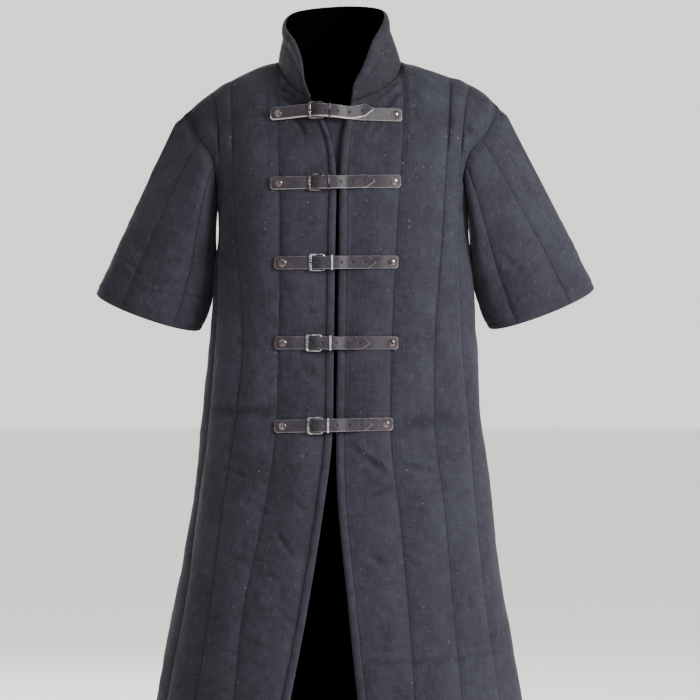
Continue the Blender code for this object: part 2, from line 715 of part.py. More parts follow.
def sleeve_columns():
    """The turn round the cuff and the phase across its channel of every column of a sleeve."""
    half = [(blend(start, end, step / count), step / count)
            for start, end, count in SLEEVE_CHANNELS for step in range(count)]
    return half + [(180, 0.0)] + [(360 - turn, phase) for turn, phase in reversed(half[1:])]


def sleeve_cap(t):
    """How far the top of a sleeve stands out at a share of its length."""
    comes, goes = ease(t / SLEEVE_CAP_STEP), ease((1 - t) / (2 * SLEEVE_CAP_STEP))
    return SLEEVE_CAP * (1 - SLEEVE_CAP_FALL * t) * comes * goes


def sleeve_curve(side, top, turn):
    """The stitched surface from a point of the armhole to the cuff, as a function of t."""
    middle, half_height = armhole_span(side)
    start, end = top + Vector((side * SEAM_SHIFT, 0, 0)), cuff_point(side, turn)
    length = (end - start).length
    topness = ease(((top.z - middle) / half_height + 1) * SLEEVE_TURN)
    leave_x = blend(SLEEVE_LEAVES_UNDER[0], SLEEVE_LEAVES_TOP[0], topness)
    leave_z = blend(SLEEVE_LEAVES_UNDER[1], SLEEVE_LEAVES_TOP[1], topness)
    leave = Vector((side * leave_x, SLEEVE_SPREAD * top.y / ARMHOLE_DEPTH, leave_z)) * length
    arrive = Vector((side * SLEEVE_ARRIVES[0], 0, SLEEVE_ARRIVES[1])) * length
    lift = Vector((side * SLEEVE_CAP_WAY[0], 0, SLEEVE_CAP_WAY[1])) * max(0, cos(radians(turn)))
    return lambda t: hermite(start, leave, end, arrive, t) + lift * sleeve_cap(t)


def make_sleeve(side, material):
    name = "sleeve_left" if side > 0 else "sleeve_right"
    ring, columns = armhole_ring(side), sleeve_columns()
    curves = [sleeve_curve(side, top, turn) for top, (turn, _) in zip(ring, columns)]
    grid = [[curve(t) for curve in curves] for t in SLEEVE_ROWS]
    normals = grid_normals(grid, side, True)
    outer, inner = [], []
    for r, line in enumerate(grid):
        outer_line, inner_line = [], []
        for c, point in enumerate(line):
            turn, phase = columns[c]
            to_top, to_cuff = (point - grid[0][c]).length, (grid[-1][c] - point).length
            fade = sqrt(ease(to_top / SEAM_FADE) * ease(to_cuff / SEAM_FADE))
            height = SLEEVE_RISE * puff(phase) * fade * squeeze(side, point)
            through = armhole_through(side, ring[c], True) if r == 0 else -normals[r][c]
            outer_line.append(point + normals[r][c] * height)
            inner_line.append(point + through * WALL)
        outer.append(outer_line)
        inner.append(inner_line)
    return wall(name, outer, inner, material, is_tube=True)


# ---------------------------------------------------------------- collar and underlap
def collar_point(share, t):
    foot = neck_point(share) + Vector((0, 0, NECK_SHIFT))
    top = Vector(read_table(COLLAR_TOP, share))
    outwards = Vector((foot.x, foot.y - NECK_CENTRE_Y, 0)).normalized()
    belly = read_table(COLLAR_BELLY, share)[0]
    return blend(foot, top, t) + outwards * belly * sin(pi * t)


def collar_outwards(share):
    """The way out of the collar, square to its line from foot to top edge."""
    foot, top = collar_point(share, 0), collar_point(share, 1)
    up, away = (top - foot).normalized(), (foot + top) / 2 - Vector((0, COLLAR_CENTRE_Y, 0))
    away.z = 0
    return (away - up * away.dot(up)).normalized()


def collar_shares():
    """The places round the neck seam at which the panels' columns end, so that the edges match."""
    fronts = [NECK_SHARE * place for channel, phase, place in panel_columns(FRONT_CHANNELS)
              if channel.seam == "neck" and (channel.from_line > 0 or phase == 0)]
    backs = [blend(0.5, NECK_SHARE, place) for channel, _, place in panel_columns(BACK_CHANNELS)
             if channel.seam == "nape"]
    right = fronts + [NECK_SHARE] + backs[:0:-1]
    return right + [0.5] + [1 - share for share in reversed(right)]


def make_collar(material):
    shares = collar_shares()
    grid = [[collar_point(share, t) for share in shares] for t in COLLAR_ROWS]
    outer, inner = [], []
    for r, t in enumerate(COLLAR_ROWS):
        in_rim = t >= COLLAR_RIM
        height = puff((t - COLLAR_RIM) / (1 - COLLAR_RIM)) if in_rim else puff(t / COLLAR_RIM)
        outer_line, inner_line = [], []
        for c, share in enumerate(shares):
            end_fade = ease(min(share, 1 - share) / COLLAR_END)
            outwards = collar_outwards(share)
            through = neck_through(share) if r == 0 else -outwards
            outer_line.append(grid[r][c] + outwards * COLLAR_RISE * height * end_fade)
            inner_line.append(grid[r][c] + through * COLLAR_WALL)
            if r == len(COLLAR_ROWS) - 1:
                outer_line[-1] = grid[r][c] + through * COLLAR_WALL * COLLAR_ROUND
                inner_line[-1] = grid[r][c] + through * COLLAR_WALL * (1 - COLLAR_ROUND)
        outer.append(outer_line)
        inner.append(inner_line)
    return wall("collar", outer, inner, material)


def make_underlap(fronts, material):
    """A strip that lies just behind both front edges and fills the gap where one curves away."""
    trees = [surface_tree(front) for front in fronts]

    def depth_behind(x, height):
        hit = cast(trees, Vector((x, NECK_CENTRE_Y, height)), Vector((0, -1, 0)))
        return hit.y if hit else None

    grid = []
    for height, right_x, left_x in UNDERLAP:
        places = [blend(right_x, left_x, step / UNDERLAP_SPANS) for step in range(UNDERLAP_SPANS + 1)]
        felt = [(x, y) for x, y in ((x, depth_behind(x, height)) for x in places) if y is not None]
        grid.append([Vector((x, across_gap(felt, x), height)) for x in places])
    points = [point for line in grid for point in line]
    strip = BVHTree.FromPolygons(points, grid_faces(len(grid), len(grid[0])))
    gaps = []
    for step in range(UNDERLAP_CHECKS * UNDERLAP_CHECKS):
        row, column = divmod(step, UNDERLAP_CHECKS)
        height = blend(UNDERLAP[0][0], UNDERLAP[-1][0], (row + 0.5) / UNDERLAP_CHECKS)
        x = blend(UNDERLAP[-1][1], UNDERLAP[-1][2], (column + 0.5) / UNDERLAP_CHECKS)
        hit = cast([strip], Vector((x, -HALF_REACH, height)), Vector((0, 1, 0)))
        depth = depth_behind(x, height)
        if hit and depth is not None:
            gaps.append(hit.y - depth)
    back = Vector((0, CLEAR - min(gaps), 0))
    outer = [[point + back for point in line] for line in grid]
    inner = [[point + Vector((0, UNDERLAP_WALL, 0)) for point in line] for line in outer]
    return wall("front_underlap", outer, inner, material)


def across_gap(felt, x):
    """A depth read between the places where a front was felt."""
    before = [place for place in felt if place[0] <= x] or felt[:1]
    after = [place for place in felt if place[0] >= x] or felt[-1:]
    (x0, y0), (x1, y1) = before[-1], after[0]
    return y0 if x1 == x0 else blend(y0, y1, (x - x0) / (x1 - x0))


def grid_faces(rows, columns):
    return [(r * columns + c, r * columns + c + 1, (r + 1) * columns + c + 1, (r + 1) * columns + c)
            for r in range(rows - 1) for c in range(columns - 1)]


def surface_tree(piece):
    return BVHTree.FromPolygons([vertex.co for vertex in piece.data.vertices],
                                [polygon.vertices for polygon in piece.data.polygons])


def cast(trees, origin, direction):
    """The nearest point that a ray meets on any of the surfaces."""
    hits = [tree.ray_cast(origin, direction) for tree in trees]
    hits = [hit for hit in hits if hit[0] is not None]
    return min(hits, key=lambda hit: hit[3])[0] if hits else None


# ---------------------------------------------------------------- straps and buckles
class TautLine:
    """The line that a strap takes when it is drawn tight over the padding from one front to the other."""

    def __init__(self, cloth_pieces, strap):
        trees = [surface_tree(piece) for piece in cloth_pieces]
        self.strap = strap
        step, margin = 1 * MM, 6 * MM
        from_x, to_x = strap.right_x - margin, strap.left_x + margin
        touched = []
        for index in range(int((to_x - from_x) / step) + 1):
            x = from_x + index * step
            offsets = [FELT_BAND * (2 * row / (FELT_ROWS - 1) - 1) for row in range(FELT_ROWS)]
            origins = [Vector((x, -HALF_REACH, self.height(x) + offset)) for offset in offsets]
            hits = [cast(trees, origin, Vector((0, 1, 0))) for origin in origins]
            touched += [(x, -hit.y) for hit in hits if hit]
        for point in (vertex.co for piece in cloth_pieces for vertex in piece.data.vertices):
            if from_x <= point.x <= to_x and point.y < 0 and abs(point.z - self.height(point.x)) < FELT_BAND:
                touched.append((point.x, -point.y))
        self.hull = self.tighten(sorted((x, forward + PADDING_GAP) for x, forward in touched))
        self.hull = self.tighten(sorted(self.hull + self.under_buckle()))

    def under_buckle(self):
        """Two points, just past the buckle's ends, that keep the line straight beneath it."""
        reach = BUCKLE_LENGTH / 2 + 3 * MM
        start, end = self.strap.buckle_x - reach, self.strap.buckle_x + reach
        low, high = self.forward(start), self.forward(end)
        bulges = [y - blend(low, high, (x - start) / (end - start)) for x, y in self.hull if start < x < end]
        rise = max(bulges + [0])
        return [(start, low + rise), (end, high + rise)]

    @staticmethod
    def tighten(points):
        hull = []
        for x, y in points:
            while len(hull) > 1:
                (x0, y0), (x1, y1) = hull[-2:]
                if (x1 - x0) * (y - y0) < (y1 - y0) * (x - x0):
                    break
                hull.pop()
            hull.append((x, y))
        return hull

    def height(self, x):
        strap = self.strap
        share = (x - strap.right_x) / (strap.left_x - strap.right_x)
        near_buckle = ease(1 - abs(x - strap.buckle_x) / BOW_REACH)
        return blend(strap.right_z, strap.left_z, share) + strap.bow * near_buckle

    def forward(self, x):
        for (x0, y0), (x1, y1) in zip(self.hull, self.hull[1:]):
            if x <= x1:
                break
        return blend(y0, y1, (x - x0) / (x1 - x0))

    def route(self, from_x, to_x, count):
        """Places from one x up to another: even steps, and wherever the line bends in between."""
        places = [blend(from_x, to_x, step / count) for step in range(count)]
        for x, _ in self.hull:
            if from_x < x < to_x and min(abs(x - place) for place in places) > ROUTE_APART:
                places.append(x)
        return sorted(places)

    def normal(self, x):
        step = 4 * MM
        slope = (self.forward(x + step) - self.forward(x - step)) / (2 * step)
        return Vector((-slope, -1, 0)).normalized()

    def spot(self, x, lift):
        """The point at x that stands a height off the line."""
        return Vector((x, -self.forward(x), self.height(x))) + self.normal(x) * lift


def loft(name, rings, material, is_loop=False):
    """Joins rings of points into one closed body, capped at its ends or joined round to its start."""
    size = len(rings[0])
    vertices = [point for ring in rings for point in ring]
    faces = []
    for r in range(len(rings) if is_loop else len(rings) - 1):
        here, there = r * size, (r + 1) % len(rings) * size
        for k in range(size):
            follow = (k + 1) % size
            faces.append((here + k, here + follow, there + follow, there + k))
    if not is_loop:
        faces += [tuple(range(size)), tuple(range(len(vertices) - size, len(vertices)))]
    return mesh_object(name, vertices, faces, material)


def ribbon(name, points, half_widths, material):
    """A flat leather strap along a row of middle points."""
    rings = []
    for index, (point, half_width) in enumerate(zip(points, half_widths)):
        before, after = points[max(index - 1, 0)], points[min(index + 1, len(points) - 1)]
        along = after - before
        out = Vector((along.y, -along.x, 0)).normalized() * LEATHER / 2
        up = Vector((0, 0, half_width))
        rings.append([point - out - up, point + out - up, point + out + up, point - out + up])
    return loft(name, rings, material)


def round_rod(name, points, radius, material, sides=6, is_loop=False):
    """A round rod along a row of middle points that lie in nearly one plane."""
    count = len(points)
    middle = sum(points, Vector()) / count
    plane = (points[0] - middle).cross(points[count // 3] - middle).normalized()
    rings = []
    for index, point in enumerate(points):
        before = points[index - 1] if is_loop or index else point
        after = points[(index + 1) % count] if is_loop or index < count - 1 else point
        side = (after - before).normalized().cross(plane).normalized()
        rings.append([point + (side * cos(2 * pi * k / sides) + plane * sin(2 * pi * k / sides)) * radius
                      for k in range(sides)])
    return loft(name, rings, material, is_loop)


def round_end(distance):
    """Half the strap's width at a distance from its end, whose two corners are rounded."""
    if distance >= END_CORNER:
        return STRAP_WIDTH / 2
    return STRAP_WIDTH / 2 - END_CORNER + sqrt(END_CORNER ** 2 - (END_CORNER - distance) ** 2)


def cut_slot(piece, corners):
    """Cuts a box-shaped slot, given by its eight corners, right through a piece."""
    faces = ((0, 1, 3, 2), (4, 5, 7, 6), (0, 1, 5, 4), (2, 3, 7, 6), (0, 2, 6, 4), (1, 3, 7, 5))
    cutter = mesh_object(piece.name + "_cutter", corners, faces, piece.data.materials[0])
    cutter.hide_render = True
    cutter.display_type = "WIRE"
    boolean = piece.modifiers.new("slot", "BOOLEAN")
    boolean.operation = "DIFFERENCE"
    boolean.object = cutter


def slot_corners(line, from_x, to_x, low, high, half_width):
    return [line.spot(x, lift) + Vector((0, 0, rise)) for x in (from_x, to_x)
            for lift in (low, high) for rise in (-half_width, half_width)]


# heights above the taut line, from the cloth outwards
CHAPE_MIDDLE = CLEAR + LEATHER / 2
BAR_MIDDLE = CLEAR + LEATHER + CLEAR + BAR_RADIUS
WRAP_RADIUS = BAR_RADIUS + CLEAR + LEATHER / 2
FOLD_MIDDLE = BAR_MIDDLE + WRAP_RADIUS
BILLET_HIGH = FOLD_MIDDLE + LEATHER + CLEAR
BILLET_OVER_CHAPE = CHAPE_MIDDLE + LEATHER + CLEAR
PRONG_LIFT = BAR_MIDDLE + BAR_RADIUS + CLEAR + PRONG_RADIUS


def buckle_bars(strap):
    """Where the buckle's two upright bars stand: first the one the prong rests on, then its pivot."""
    reach = BUCKLE_LENGTH / 2 - BAR_RADIUS
    return strap.buckle_x - reach, strap.buckle_x + reach


def make_billet(label, line, strap, material):
    """The holed strap: under the first bar, over the pivot bar, then down on to the chape."""
    from_x, tip_x = strap.right_x, strap.tip_x
    rest_bar, pivot_bar = buckle_bars(strap)
    fold_end = pivot_bar + FOLD_LENGTH
    climb_from, climb_to = rest_bar + 3 * MM, pivot_bar - 4 * MM
    drop_from, drop_to = fold_end + 2 * MM, fold_end + 22 * MM
    curl_length = 1.6 * TIP_LENGTH
    ends = [from_x + step for step in END_STEPS]
    flats = [blend(ends[-1], climb_from, share / 3) for share in (1, 2)]
    climbs = [blend(climb_from, climb_to, share / 6) for share in range(7)]
    holds = [pivot_bar + 3 * MM, fold_end]
    drops = [blend(drop_from, drop_to, share / 4) for share in range(5)]
    tips = [tip_x - TIP_LENGTH, tip_x - TIP_LENGTH / 2, tip_x]
    points, half_widths = [], []
    for x in ends + flats + climbs + holds + drops + tips:
        lift = blend(CHAPE_MIDDLE, BILLET_HIGH, ease((x - climb_from) / (climb_to - climb_from)))
        lift -= (BILLET_HIGH - BILLET_OVER_CHAPE) * ease((x - drop_from) / (drop_to - drop_from))
        lift += strap.tip_lift * ease((x - tip_x + curl_length) / curl_length)
        points.append(line.spot(x, lift))
        to_tip = (tip_x - x) / TIP_LENGTH
        pointed = blend(TIP_HALF_WIDTH, STRAP_WIDTH / 2, to_tip)
        half_widths.append(round_end(x - from_x) if to_tip > 1 else pointed)
    billet = ribbon(label + "_billet", points, half_widths, material)
    slot_reach = PRONG_RADIUS + CLEAR
    cut_slot(billet, slot_corners(line, rest_bar + BAR_RADIUS, pivot_bar - 1 * MM, PRONG_LIFT - slot_reach,
                                  PRONG_LIFT + slot_reach, slot_reach + CLEAR))


def make_chape(label, line, strap, material):
    """The strap that holds the buckle: its end folds round the pivot bar and comes back outside."""
    to_x = strap.left_x
    _, pivot_bar = buckle_bars(strap)
    ends = [to_x - step for step in END_STEPS]
    places = [(x, CHAPE_MIDDLE) for x in ends]
    places += [(x, CHAPE_MIDDLE) for x in reversed(line.route(pivot_bar + 2 * MM, ends[-1], 6))]
    for step in range(9):
        angle = pi / 2 + pi * step / 8
        places.append((pivot_bar + WRAP_RADIUS * cos(angle), BAR_MIDDLE - WRAP_RADIUS * sin(angle)))
    places += [(pivot_bar + FOLD_LENGTH * share, FOLD_MIDDLE) for share in (0.5, 1.0)]
    points = [line.spot(x, lift) for x, lift in places]
    half_widths = [round_end(to_x - x) if index < len(ends) else STRAP_WIDTH / 2
                   for index, (x, _) in enumerate(places)]
    chape = ribbon(label + "_chape", points, half_widths, material)
    reach = WRAP_RADIUS + LEATHER
    cut_slot(chape, slot_corners(line, pivot_bar - reach, pivot_bar + reach + 1 * MM, -1 * MM,
                                 FOLD_MIDDLE + LEATHER, PRONG_RADIUS + 3 * CLEAR))


def make_buckle(label, line, strap, material):
    """A rectangular wire frame with rounded corners."""
    rest_bar, pivot_bar = buckle_bars(strap)
    half_height = BUCKLE_WIDTH / 2 - BAR_RADIUS
    corner = BUCKLE_CORNER - BAR_RADIUS
    corners = ((pivot_bar, 1, 0), (rest_bar, 1, 90), (rest_bar, -1, 180), (pivot_bar, -1, 270))
    points = []
    for x, rise, first in corners:
        inward = -1 if x == pivot_bar else 1
        for step in range(4):
            angle = radians(first + 30 * step)
            points.append(line.spot(x + inward * corner + corner * cos(angle), BAR_MIDDLE)
                          + Vector((0, 0, rise * (half_height - corner) + corner * sin(angle))))
    round_rod(label + "_buckle", points, BAR_RADIUS, material, is_loop=True)


def make_prong(label, line, strap, material):
    """A wire prong: its eye goes round the pivot bar and its tip lies on the other bar."""
    rest_bar, pivot_bar = buckle_bars(strap)
    eye = BAR_RADIUS + CLEAR + PRONG_RADIUS
    places = [(pivot_bar + eye * sin(radians(angle)), BAR_MIDDLE - eye * cos(radians(angle)))
              for angle in range(0, 181, 36)]
    places += [(blend(pivot_bar, rest_bar - 1 * MM, share), PRONG_LIFT) for share in (0.5, 1.0)]
    round_rod(label + "_prong", [line.spot(x, lift) for x, lift in places], PRONG_RADIUS, material)


def make_keeper(label, line, strap, material):
    """A metal loop: its back lies inside the chape's fold and its front holds the billet down."""
    middle = buckle_bars(strap)[1] + strap.keeper
    band = KEEPER_BAND
    low = CHAPE_MIDDLE + LEATHER / 2 + 2 * CLEAR
    high = BILLET_HIGH + LEATHER / 2 + CLEAR + band
    half_height = STRAP_WIDTH / 2 + 2 * CLEAR + band
    rings = []
    for lift, rise, inwards in ((low, -1, 1), (high, -1, -1), (high, 1, -1), (low, 1, 1)):
        ring = []
        for x, depth in ((-1, 0), (1, 0), (1, 1), (-1, 1)):
            spot = line.spot(middle + x * KEEPER_WIDTH / 2, lift + inwards * depth * band)
            ring.append(spot + Vector((0, 0, rise * (half_height - depth * band))))
        rings.append(ring)
    loft(label + "_keeper", rings, material, is_loop=True)


def make_rivet(name, line, x, material):
    """A domed head that sits on the leather."""
    out = line.normal(x)
    foot = line.spot(x, CLEAR + LEATHER + CLEAR)
    up = Vector((0, 0, 1))
    aside = out.cross(up).normalized()
    spokes = [aside * cos(2 * pi * k / RIVET_SIDES) + up * sin(2 * pi * k / RIVET_SIDES)
              for k in range(RIVET_SIDES)]
    rings = [[foot + out * RIVET_HEIGHT * rise + spoke * RIVET_RADIUS * width for spoke in spokes]
             for width, rise in RIVET_PROFILE]
    loft(name, rings, material)


def make_fastening(number, strap, cloth_pieces, materials):
    label = f"strap_{number}"
    line = TautLine(cloth_pieces, strap)
    make_billet(label, line, strap, materials["leather"])
    make_chape(label, line, strap, materials["leather"])
    make_buckle(label, line, strap, materials["steel"])
    make_prong(label, line, strap, materials["steel"])
    make_keeper(label, line, strap, materials["steel"])
    make_rivet(label + "_rivet_right", line, strap.right_x + RIVET_INSETS[0], materials["copper"])
    make_rivet(label + "_rivet_left", line, strap.left_x - RIVET_INSETS[1], materials["copper"])


# ---------------------------------------------------------------- materials and the whole
def plain_material(name, colour, roughness, metallic):
    material = bpy.data.materials.new(name)
    material.use_nodes = True
    shader = material.node_tree.nodes["Principled BSDF"]
    shader.inputs["Base Color"].default_value = (*colour, 1.0)
    shader.inputs["Roughness"].default_value = roughness
    shader.inputs["Metallic"].default_value = metallic
    material.diffuse_color = (*colour, 1.0)
    return material


def make_materials():
    return {
        "cloth": plain_material("slate_cotton_canvas", (0.040, 0.042, 0.056), 0.92, 0.0),
        "leather": plain_material("dark_grey_leather", (0.045, 0.042, 0.043), 0.50, 0.0),
        "steel": plain_material("darkened_nickel", (0.20, 0.19, 0.20), 0.35, 1.0),
        "copper": plain_material("antique_copper", (0.30, 0.17, 0.12), 0.38, 1.0),
    }


def main():
    for piece in list(bpy.data.objects):
        bpy.data.objects.remove(piece, do_unlink=True)
    materials = make_materials()
    cloth = materials["cloth"]
    fronts = [make_front(side, cloth) for side in (-1, 1)]
    make_back(cloth)
    for side in (-1, 1):
        make_sleeve(side, cloth)
    collar = make_collar(cloth)
    make_underlap(fronts, cloth)
    for number, strap in enumerate(STRAPS, start=1):
        make_fastening(number, strap, fronts + [collar], materials)


main()
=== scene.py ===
# %% [markdown]
# # A quilted gambeson
# A gambeson is a padded coat: two layers of cloth with wadding between them, sewn through in long
# upright lines. This lesson dresses the plain solids of such a coat with fine cloth, leather and metal.
# The solids are loaded first. They give the place and size of every piece, and are never moved.

# %% Load the plain solids
from bisect import bisect_right
from collections import namedtuple
from functools import lru_cache
from math import asin, atan2, copysign, cos, degrees, exp, pi, radians, sin, sqrt

import bmesh
import bpy
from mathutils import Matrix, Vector, noise
from mathutils.bvhtree import BVHTree


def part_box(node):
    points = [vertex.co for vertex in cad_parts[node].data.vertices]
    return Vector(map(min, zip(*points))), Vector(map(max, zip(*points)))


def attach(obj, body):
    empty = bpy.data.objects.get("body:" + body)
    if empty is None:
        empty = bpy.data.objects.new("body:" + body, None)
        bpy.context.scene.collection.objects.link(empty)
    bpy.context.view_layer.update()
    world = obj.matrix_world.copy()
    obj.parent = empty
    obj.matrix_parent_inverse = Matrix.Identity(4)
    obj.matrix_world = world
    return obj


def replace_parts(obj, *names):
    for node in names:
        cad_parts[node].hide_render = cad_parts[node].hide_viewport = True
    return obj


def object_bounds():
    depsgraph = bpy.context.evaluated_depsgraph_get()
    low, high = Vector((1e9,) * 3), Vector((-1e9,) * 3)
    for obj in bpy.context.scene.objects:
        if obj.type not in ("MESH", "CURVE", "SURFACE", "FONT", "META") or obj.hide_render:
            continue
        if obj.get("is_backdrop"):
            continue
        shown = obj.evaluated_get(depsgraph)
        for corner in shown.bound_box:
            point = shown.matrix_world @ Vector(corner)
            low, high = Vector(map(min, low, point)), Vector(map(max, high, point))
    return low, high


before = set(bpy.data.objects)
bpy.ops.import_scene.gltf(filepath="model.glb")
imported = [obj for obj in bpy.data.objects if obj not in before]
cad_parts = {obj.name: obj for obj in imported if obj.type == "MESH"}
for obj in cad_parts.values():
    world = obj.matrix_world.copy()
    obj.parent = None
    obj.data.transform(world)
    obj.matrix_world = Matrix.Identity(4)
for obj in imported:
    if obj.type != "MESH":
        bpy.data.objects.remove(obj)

MM = 0.001
solid_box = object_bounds()
print("solids:", len(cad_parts), "box", [tuple(round(v, 3) for v in corner) for corner in solid_box])

# %% [markdown]
# ## Smooth curves through a few numbers
# A garment has no straight line. Short tables of sizes are read with smooth curves between their rows,
# so a handful of measures is enough to shape a whole panel. The alternative, a dense hand-made mesh,
# could not be checked against a tape measure.

# %% Curves and tables
def blend(a, b, share):
    return a + (b - a) * share


def ease(share):
    share = min(1.0, max(0.0, share))
    return share * share * (3 - 2 * share)


def hermite(start, start_slope, end, end_slope, t):
    square, cube = t * t, t * t * t
    return (start * (2 * cube - 3 * square + 1) + start_slope * (cube - 2 * square + t)
            + end * (3 * square - 2 * cube) + end_slope * (cube - square))


def read_table(table, key):
    """The values of a table's row at a key between its rows, on a smooth curve through them."""
    keys = [row[0] for row in table]
    low = min(len(table) - 2, max(0, bisect_right(keys, key) - 1))
    span = keys[low + 1] - keys[low]

    def slope(index, column):
        before, after = max(index - 1, 0), min(index + 1, len(table) - 1)
        return (table[after][column] - table[before][column]) / (keys[after] - keys[before]) * span

    return [hermite(table[low][column], slope(low, column), table[low + 1][column], slope(low + 1, column),
                    (key - keys[low]) / span) for column in range(1, len(table[0]))]


print("a quarter of the way, eased:", ease(0.25))

# %% [markdown]
# ## The body of the coat
# Worn, the coat's body is a column of flattened rounds that narrows at the waist and flares to the hem.
# Each row of the table is one such round. A superellipse gives the slightly boxy chest that wadding
# makes, which a plain ellipse would not.

# %% Rounds from hem to chest
HEM = -1.090
UPPER_START = -0.300          # above this height the columns run to the neck, shoulder and armhole
SECTIONS = (
    # height, middle, half_width, front_depth, back_depth, boxiness (2 is an ellipse, more is squarer)
    (HEM, 0.000, 0.300, 0.196, 0.190, 2.2),
    (-1.018, 0.000, 0.289, 0.188, 0.182, 2.2),
    (-0.922, -0.001, 0.2725, 0.176, 0.170, 2.2),
    (-0.818, 0.0007, 0.2523, 0.163, 0.156, 2.25),
    (-0.707, 0.0048, 0.2358, 0.150, 0.138, 2.3),
    (-0.626, 0.004, 0.2268, 0.142, 0.124, 2.35),
    (-0.560, 0.0028, 0.2182, 0.136, 0.113, 2.4),
    (-0.434, 0.006, 0.2082, 0.134, 0.112, 2.6),
    (UPPER_START, 0.006, 0.200, 0.137, 0.122, 2.9),
)


def body_point(height, angle, is_back):
    """A point on the coat's body; angle is 0 at the middle and a quarter turn at a side seam."""
    middle, half_width, front_depth, back_depth, boxiness = section(height)
    power = 2 / boxiness
    across = copysign(abs(sin(angle)) ** power, angle)
    depth = max(0.0, cos(angle)) ** power
    return Vector((middle + half_width * across, depth * (back_depth if is_back else -front_depth), height))


@lru_cache(maxsize=None)
def section(height):
    return read_table(SECTIONS, height)


print("hem at", HEM, "half width there", section(HEM)[1])

# %% [markdown]
# ## Stitch lines
# The upright lines of quilting are straight on the cut cloth and spread as the skirts flare. They are
# kept as places across the body at a few heights, the way a tailor chalks them on the cloth.

# %% Where the stitch lines run
ROLL_WIDTH = 13 * MM          # the narrow padded roll along each front edge
LEFT_LINES = (
    # height, edge, first, second, third
    (HEM, 0.040, 0.122, 0.198, 0.262),
    (-0.998, 0.028, 0.116, 0.190, 0.249),
    (-0.854, 0.013, 0.106, 0.176, 0.228),
    (-0.700, -0.0026, 0.0916, 0.163, 0.213),
    (-0.598, -0.0058, 0.080, 0.150, 0.205),
    (-0.450, -0.0038, 0.081, 0.148, 0.192),
    (UPPER_START, -0.0016, 0.088, 0.158, 0.186),
)
RIGHT_LINES = (
    # height, edge, first, second, third
    (HEM, -0.095, -0.176, -0.235, -0.283),
    (-0.998, -0.0765, -0.164, -0.222, -0.270),
    (-0.854, -0.049, -0.148, -0.201, -0.243),
    (-0.700, -0.0244, -0.116, -0.182, -0.224),
    (-0.598, -0.012, -0.101, -0.167, -0.210),
    (-0.450, -0.0092, -0.095, -0.151, -0.197),
    (UPPER_START, -0.0070, -0.093, -0.1586, -0.1907),
)
FRONT_LINES = {1: LEFT_LINES, -1: RIGHT_LINES}
EDGE_LEAN = {1: 0.30, -1: -0.62}   # how far each front edge leans outwards at the neck
BACK_LINES = (0.17, 0.48, 0.76, 0.93)   # shares of the half width

# Lines are counted from the middle edge: 0 edge, 1 roll, 2 first, 3 second, 4 third, 5 side seam.
FLANK_LINE, SIDE_LINE = 3, 5


def angle_at(height, share):
    """The angle at which the body reaches a share of its half width."""
    return copysign(asin(min(1.0, abs(share)) ** (section(height)[-1] / 2)), share)


@lru_cache(maxsize=None)
def line_angles(side, height, is_back):
    """The angles of a half body's stitch lines, from its middle edge to the side seam."""
    if is_back:
        return [0.0] + [side * angle_at(height, share) for share in BACK_LINES] + [side * pi / 2]
    middle, half_width = section(height)[:2]
    edge, first, second, third = read_table(FRONT_LINES[side], height)
    places = (edge, edge + side * ROLL_WIDTH, first, second, third)
    return [angle_at(height, (x - middle) / half_width) for x in places] + [side * pi / 2]


def lower_curve(side, line, share, is_back):
    """A column of the lower body between one stitch line and the next, as a function of the height."""
    def lower(height):
        angles = line_angles(side, height, is_back)
        return body_point(height, blend(angles[line], angles[line + 1], share), is_back)

    return lower


print("left front's lines at the chest:", [round(x, 3) for x in read_table(LEFT_LINES, UPPER_START)])

# %% [markdown]
# ## Neck and shoulders
# Above the chest each column of cloth leaves the round of the body and bends over to the neck seam or
# the shoulder seam. A smooth curve with a chosen direction at both ends does what steaming the cloth
# over a shoulder does, and one formula then serves the fronts and the back alike.

# %% Neck seam and shoulder seam
NECK_SEAM = (
    # share round from the wearer's right front, x, y, z
    (0.00, -0.046, -0.118, -0.064),
    (0.12, -0.066, -0.092, -0.050),
    (0.24, -0.088, -0.050, -0.026),
    (0.34, -0.098, 0.000, -0.001),
    (0.42, -0.080, 0.045, 0.012),
    (0.50, 0.000, 0.078, 0.018),
    (0.58, 0.080, 0.045, 0.012),
    (0.66, 0.098, 0.000, -0.001),
    (0.77, 0.088, -0.046, -0.028),
    (0.88, 0.061, -0.086, -0.050),
    (1.00, 0.018, -0.118, -0.070),
)
NECK_SHARE = 0.34             # where the shoulder seam meets the neck seam
NECK_CENTRE_Y = -0.020
NECK_FRONT = (0.050, 0.060)   # the wall turns to face forwards from here, over this depth
NECK_TILT = 0.9               # how far the wall slopes down inwards at the sides and nape
NECK_THICKER = 1.2
FRONT_RISE = (0.6, 1.0)       # how the fronts lean back and rise at the neck
NAPE_RISE = (-0.8, 0.6)       # how the back leans forward and rises at the nape
CURVE_PULL = 1.5              # how strongly the lower body and the seam bend a column
NECK_SLANT = 0.25             # how far the columns beside the neck lean in towards it
NECK_SLOPE = 0.14             # rise of the cloth towards the back beside the neck
SHOULDER_SLOPE = 0.14         # rise of the cloth towards the shoulder seam from both sides
TIP_FLARE = 0.5               # how far the columns beside the armhole lean out to the shoulder tip
SHOULDER_TIPS = {1: Vector((0.254, 0.0, -0.0705)), -1: Vector((-0.250, 0.0, -0.083))}
SHOULDER_STRAIGHT = {1: 0.56, -1: 0.35}   # share of a shoulder's fall that is even, the rest rounds it over
SHOULDER_ROUNDS = {1: 5.0, -1: 2.2}       # how late that rest comes
SEAM_SHIFT = 0.03 * MM        # each side of a seam is drawn back this far
NECK_SHIFT = 0.4 * MM         # the same at the foot of the collar
FLANK_SHARES = (0.5, 0.84, 1.0)   # shoulder shares of the second line, the third and the side


def neck_point(share):
    return Vector(read_table(NECK_SEAM, share))


